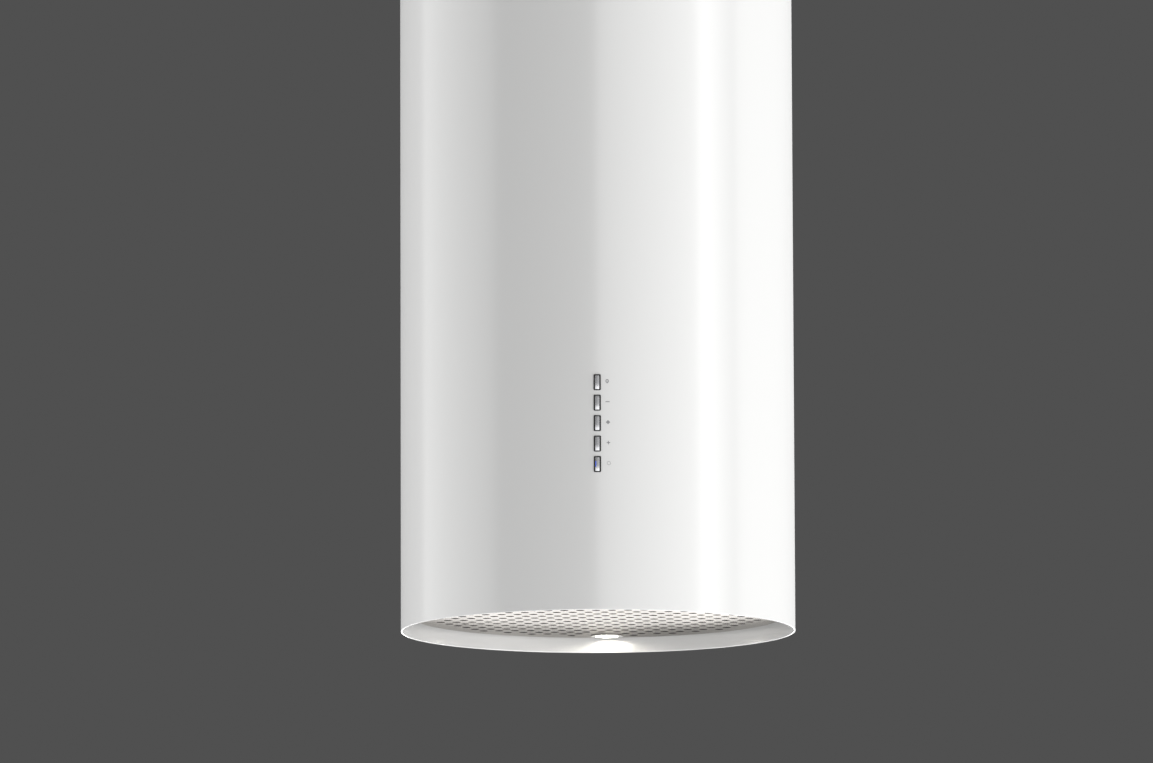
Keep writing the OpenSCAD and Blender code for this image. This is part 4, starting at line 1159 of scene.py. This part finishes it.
class Chassis:
    """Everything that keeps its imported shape: frames, blower, motor, electronics and fixings."""

    def build(self, frame: dict) -> None:
        """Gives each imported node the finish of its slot.
        """
        slot_of = {part["node"]: part["material_slot"] for part in frame["record"]["subparts"]}
        for name, node in frame["nodes"].items():
            finish = NODE_FINISH.get(name, SLOT_FINISH[slot_of[name]])
            node.data.materials.clear()
            node.data.materials.append(finish.material())
        LOG.info("chassis: %d packed nodes dressed", len(slot_of))


# ---------- Studio ----------


@dataclass(frozen=True)
class Softbox:
    """A flat soft light that the camera's own rays don't see.

    Its radiance may change across its width: start is at its own -X edge and end at its +X edge.
    """

    name: str
    place: Vector
    facing: Vector
    width: float
    height: float
    start: float
    end: float

    def build(self) -> None:
        """Makes the light and turns it to where it faces."""
        light = bpy.data.lights.new(self.name, "AREA")
        light.shape = "RECTANGLE"
        light.size, light.size_y = self.width, self.height
        light.energy = math.pi * self.width * self.height
        light.use_nodes = True
        tree = light.node_tree
        tree.nodes.clear()
        place = add_node(tree, "ShaderNodeNewGeometry").outputs["Parametric"]
        across = add_node(tree, "ShaderNodeSeparateXYZ", {0: place})
        radiance = {"Value": across, "To Min": self.start, "To Max": self.end}
        level = add_node(tree, "ShaderNodeMapRange", radiance)
        glow = add_node(tree, "ShaderNodeEmission", {"Strength": level})
        add_node(tree, "ShaderNodeOutputLight", {0: glow})
        stand = bpy.data.objects.new(self.name, light)
        bpy.context.scene.collection.objects.link(stand)
        stand.visible_camera = False
        stand.location = self.place
        stand.rotation_euler = self.facing.to_track_quat("-Z", "Y").to_euler()


@dataclass
class Studio:
    """Plain pale surroundings, soft lights and the camera."""

    room_grey: float = 0.08
    floor_z: float = -2.4
    floor_r: float = 30.0
    floor_colour: str = "DADADA"
    floor_glow: float = 0.4
    softbox_distance: float = 2.6
    softbox_height: float = 3.9
    softbox_z: float = -0.4
    sensor: float = 36.0
    focal_in_widths: float = 8.6
    distance: float = 8.75
    rise_deg: float = 6.32
    rim_below_middle: float = 0.217
    axis_right_of_middle: float = 0.0181
    roll_deg: float = 0.2

    def surroundings(self) -> None:
        """Sets the even grey room and the pale floor, which only shows from above."""
        world = bpy.data.worlds.new("pale_room")
        world.use_nodes = True
        world.node_tree.nodes["Background"].inputs["Color"].default_value = (*[self.room_grey] * 3, 1)
        bpy.context.scene.world = world
        bpy.context.scene.view_settings.view_transform = "Standard"
        shape = bmesh.new()
        bmesh.ops.create_circle(shape, cap_ends=True, segments=96, radius=self.floor_r)
        bmesh.ops.translate(shape, vec=(0, 0, self.floor_z), verts=shape.verts)
        paint = bpy.data.materials.new("matt_floor_paint")
        paint.use_nodes = True
        tree = paint.node_tree
        tree.nodes.clear()
        colour = srgb(self.floor_colour)
        back = add_node(tree, "ShaderNodeNewGeometry").outputs["Backfacing"]
        matt = add_node(tree, "ShaderNodeBsdfDiffuse", {"Color": colour})
        lit = add_node(tree, "ShaderNodeEmission", {"Color": colour, "Strength": self.floor_glow})
        pale = add_node(tree, "ShaderNodeAddShader", {0: matt, 1: lit})
        open_side = add_node(tree, "ShaderNodeBsdfTransparent")
        either = add_node(tree, "ShaderNodeMixShader", {0: back, 1: pale, 2: open_side})
        add_node(tree, "ShaderNodeOutputMaterial", {"Surface": either})
        floor = make_piece("floor", plain_mesh(shape), paint)

    def standing(self, name: str, start_deg: float, end_deg: float, start: float, end: float) -> Softbox:
        """Plans a tall softbox that stands round the hood.

        Args:
            name: Its name.
            start_deg: Angle of its first edge about the hood's axis, from the front towards the right.
            end_deg: Angle of its other edge.
            start: Radiance at its first edge.
            end: Radiance at its other edge.

        Returns:
            The softbox.
        """
        middle, half = math.radians((start_deg + end_deg) / 2), math.radians((end_deg - start_deg) / 2)
        away = Vector((math.sin(middle), -math.cos(middle), 0))
        place = self.softbox_distance * away + Vector((0, 0, self.softbox_z))
        width = 2 * self.softbox_distance * math.tan(half)
        return Softbox(name, place, -away, width, self.softbox_height, start, end)

    def lights(self) -> None:
        """Sets the tall softboxes round the hood, two low ones in front and behind, and one above."""
        low_front, low_back, top = (3, -4, self.floor_z + 0.02), (0, 3, -1.35), (0, 1.2, 2.4)
        up, front, down = Vector((0, 0, 1)), Vector((0, -1, 0)), Vector((0, -0.4, -1))
        boxes = (
            self.standing("left_softbox", -120, -60, 1.12, 0.38),
            self.standing("back_left_softbox", -178, -120, 0.3, 0.75),
            self.standing("front_fill", -60, 0, 0.22, 0.18),
            self.standing("front_softbox", 0, 60, 0.53, 0.9),
            self.standing("right_strip", 60, 88, 1.49, 0.53),
            self.standing("back_right_softbox", 88, 135, 0.92, 0.86),
            self.standing("rear_softbox", 135, 178, 0.85, 0.65),
            Softbox("low_front_softbox", Vector(low_front), up, 8, 8, 1.3, 0.5),
            Softbox("low_back_softbox", Vector(low_back), front, 1.8, 0.8, 2.6, 2.6),
            Softbox("top_softbox", Vector(top), down, 2.4, 2.4, 0.9, 0.9),
        )
        for box in boxes:
            box.build()

    def camera(self) -> None:
        """Sets the camera low in front of the hood, looking up at its rim."""
        low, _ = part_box("lower_tube")
        rim = Vector((0, 0, low.z))
        rise = math.radians(self.rise_deg)
        pitch = rise + math.atan(self.rim_below_middle / self.focal_in_widths)
        yaw = math.atan(self.axis_right_of_middle / self.focal_in_widths)
        camera = bpy.data.cameras.new("camera")
        camera.sensor_width = self.sensor
        camera.lens = self.sensor * self.focal_in_widths
        camera.clip_end = 100
        stand = bpy.data.objects.new("camera", camera)
        bpy.context.scene.collection.objects.link(stand)
        turn = (
            Matrix.Rotation(yaw, 4, "Z")
            @ Matrix.Rotation(math.pi / 2 + pitch, 4, "X")
            @ Matrix.Rotation(math.radians(-self.roll_deg), 4, "Z")
        )
        spot = rim + Vector((0, -self.distance, -self.distance * math.tan(rise)))
        stand.matrix_world = Matrix.Translation(spot) @ turn
        bpy.context.scene.camera = stand

    def build(self) -> None:
        """Sets the whole studio."""
        self.surroundings()
        self.lights()
        self.camera()
        LOG.info("studio set")


def main() -> None:
    """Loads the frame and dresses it."""
    logging.basicConfig(level=logging.INFO, format="%(name)s: %(message)s")
    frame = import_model()
    Studio().build()
    Chassis().build(frame)
    Tubes().build()
    ButtonColumn().build()
    PunchedPanel().build()
    GreaseFilter().build()
    Lamp().build()


if __name__ == "__main__":
    main()
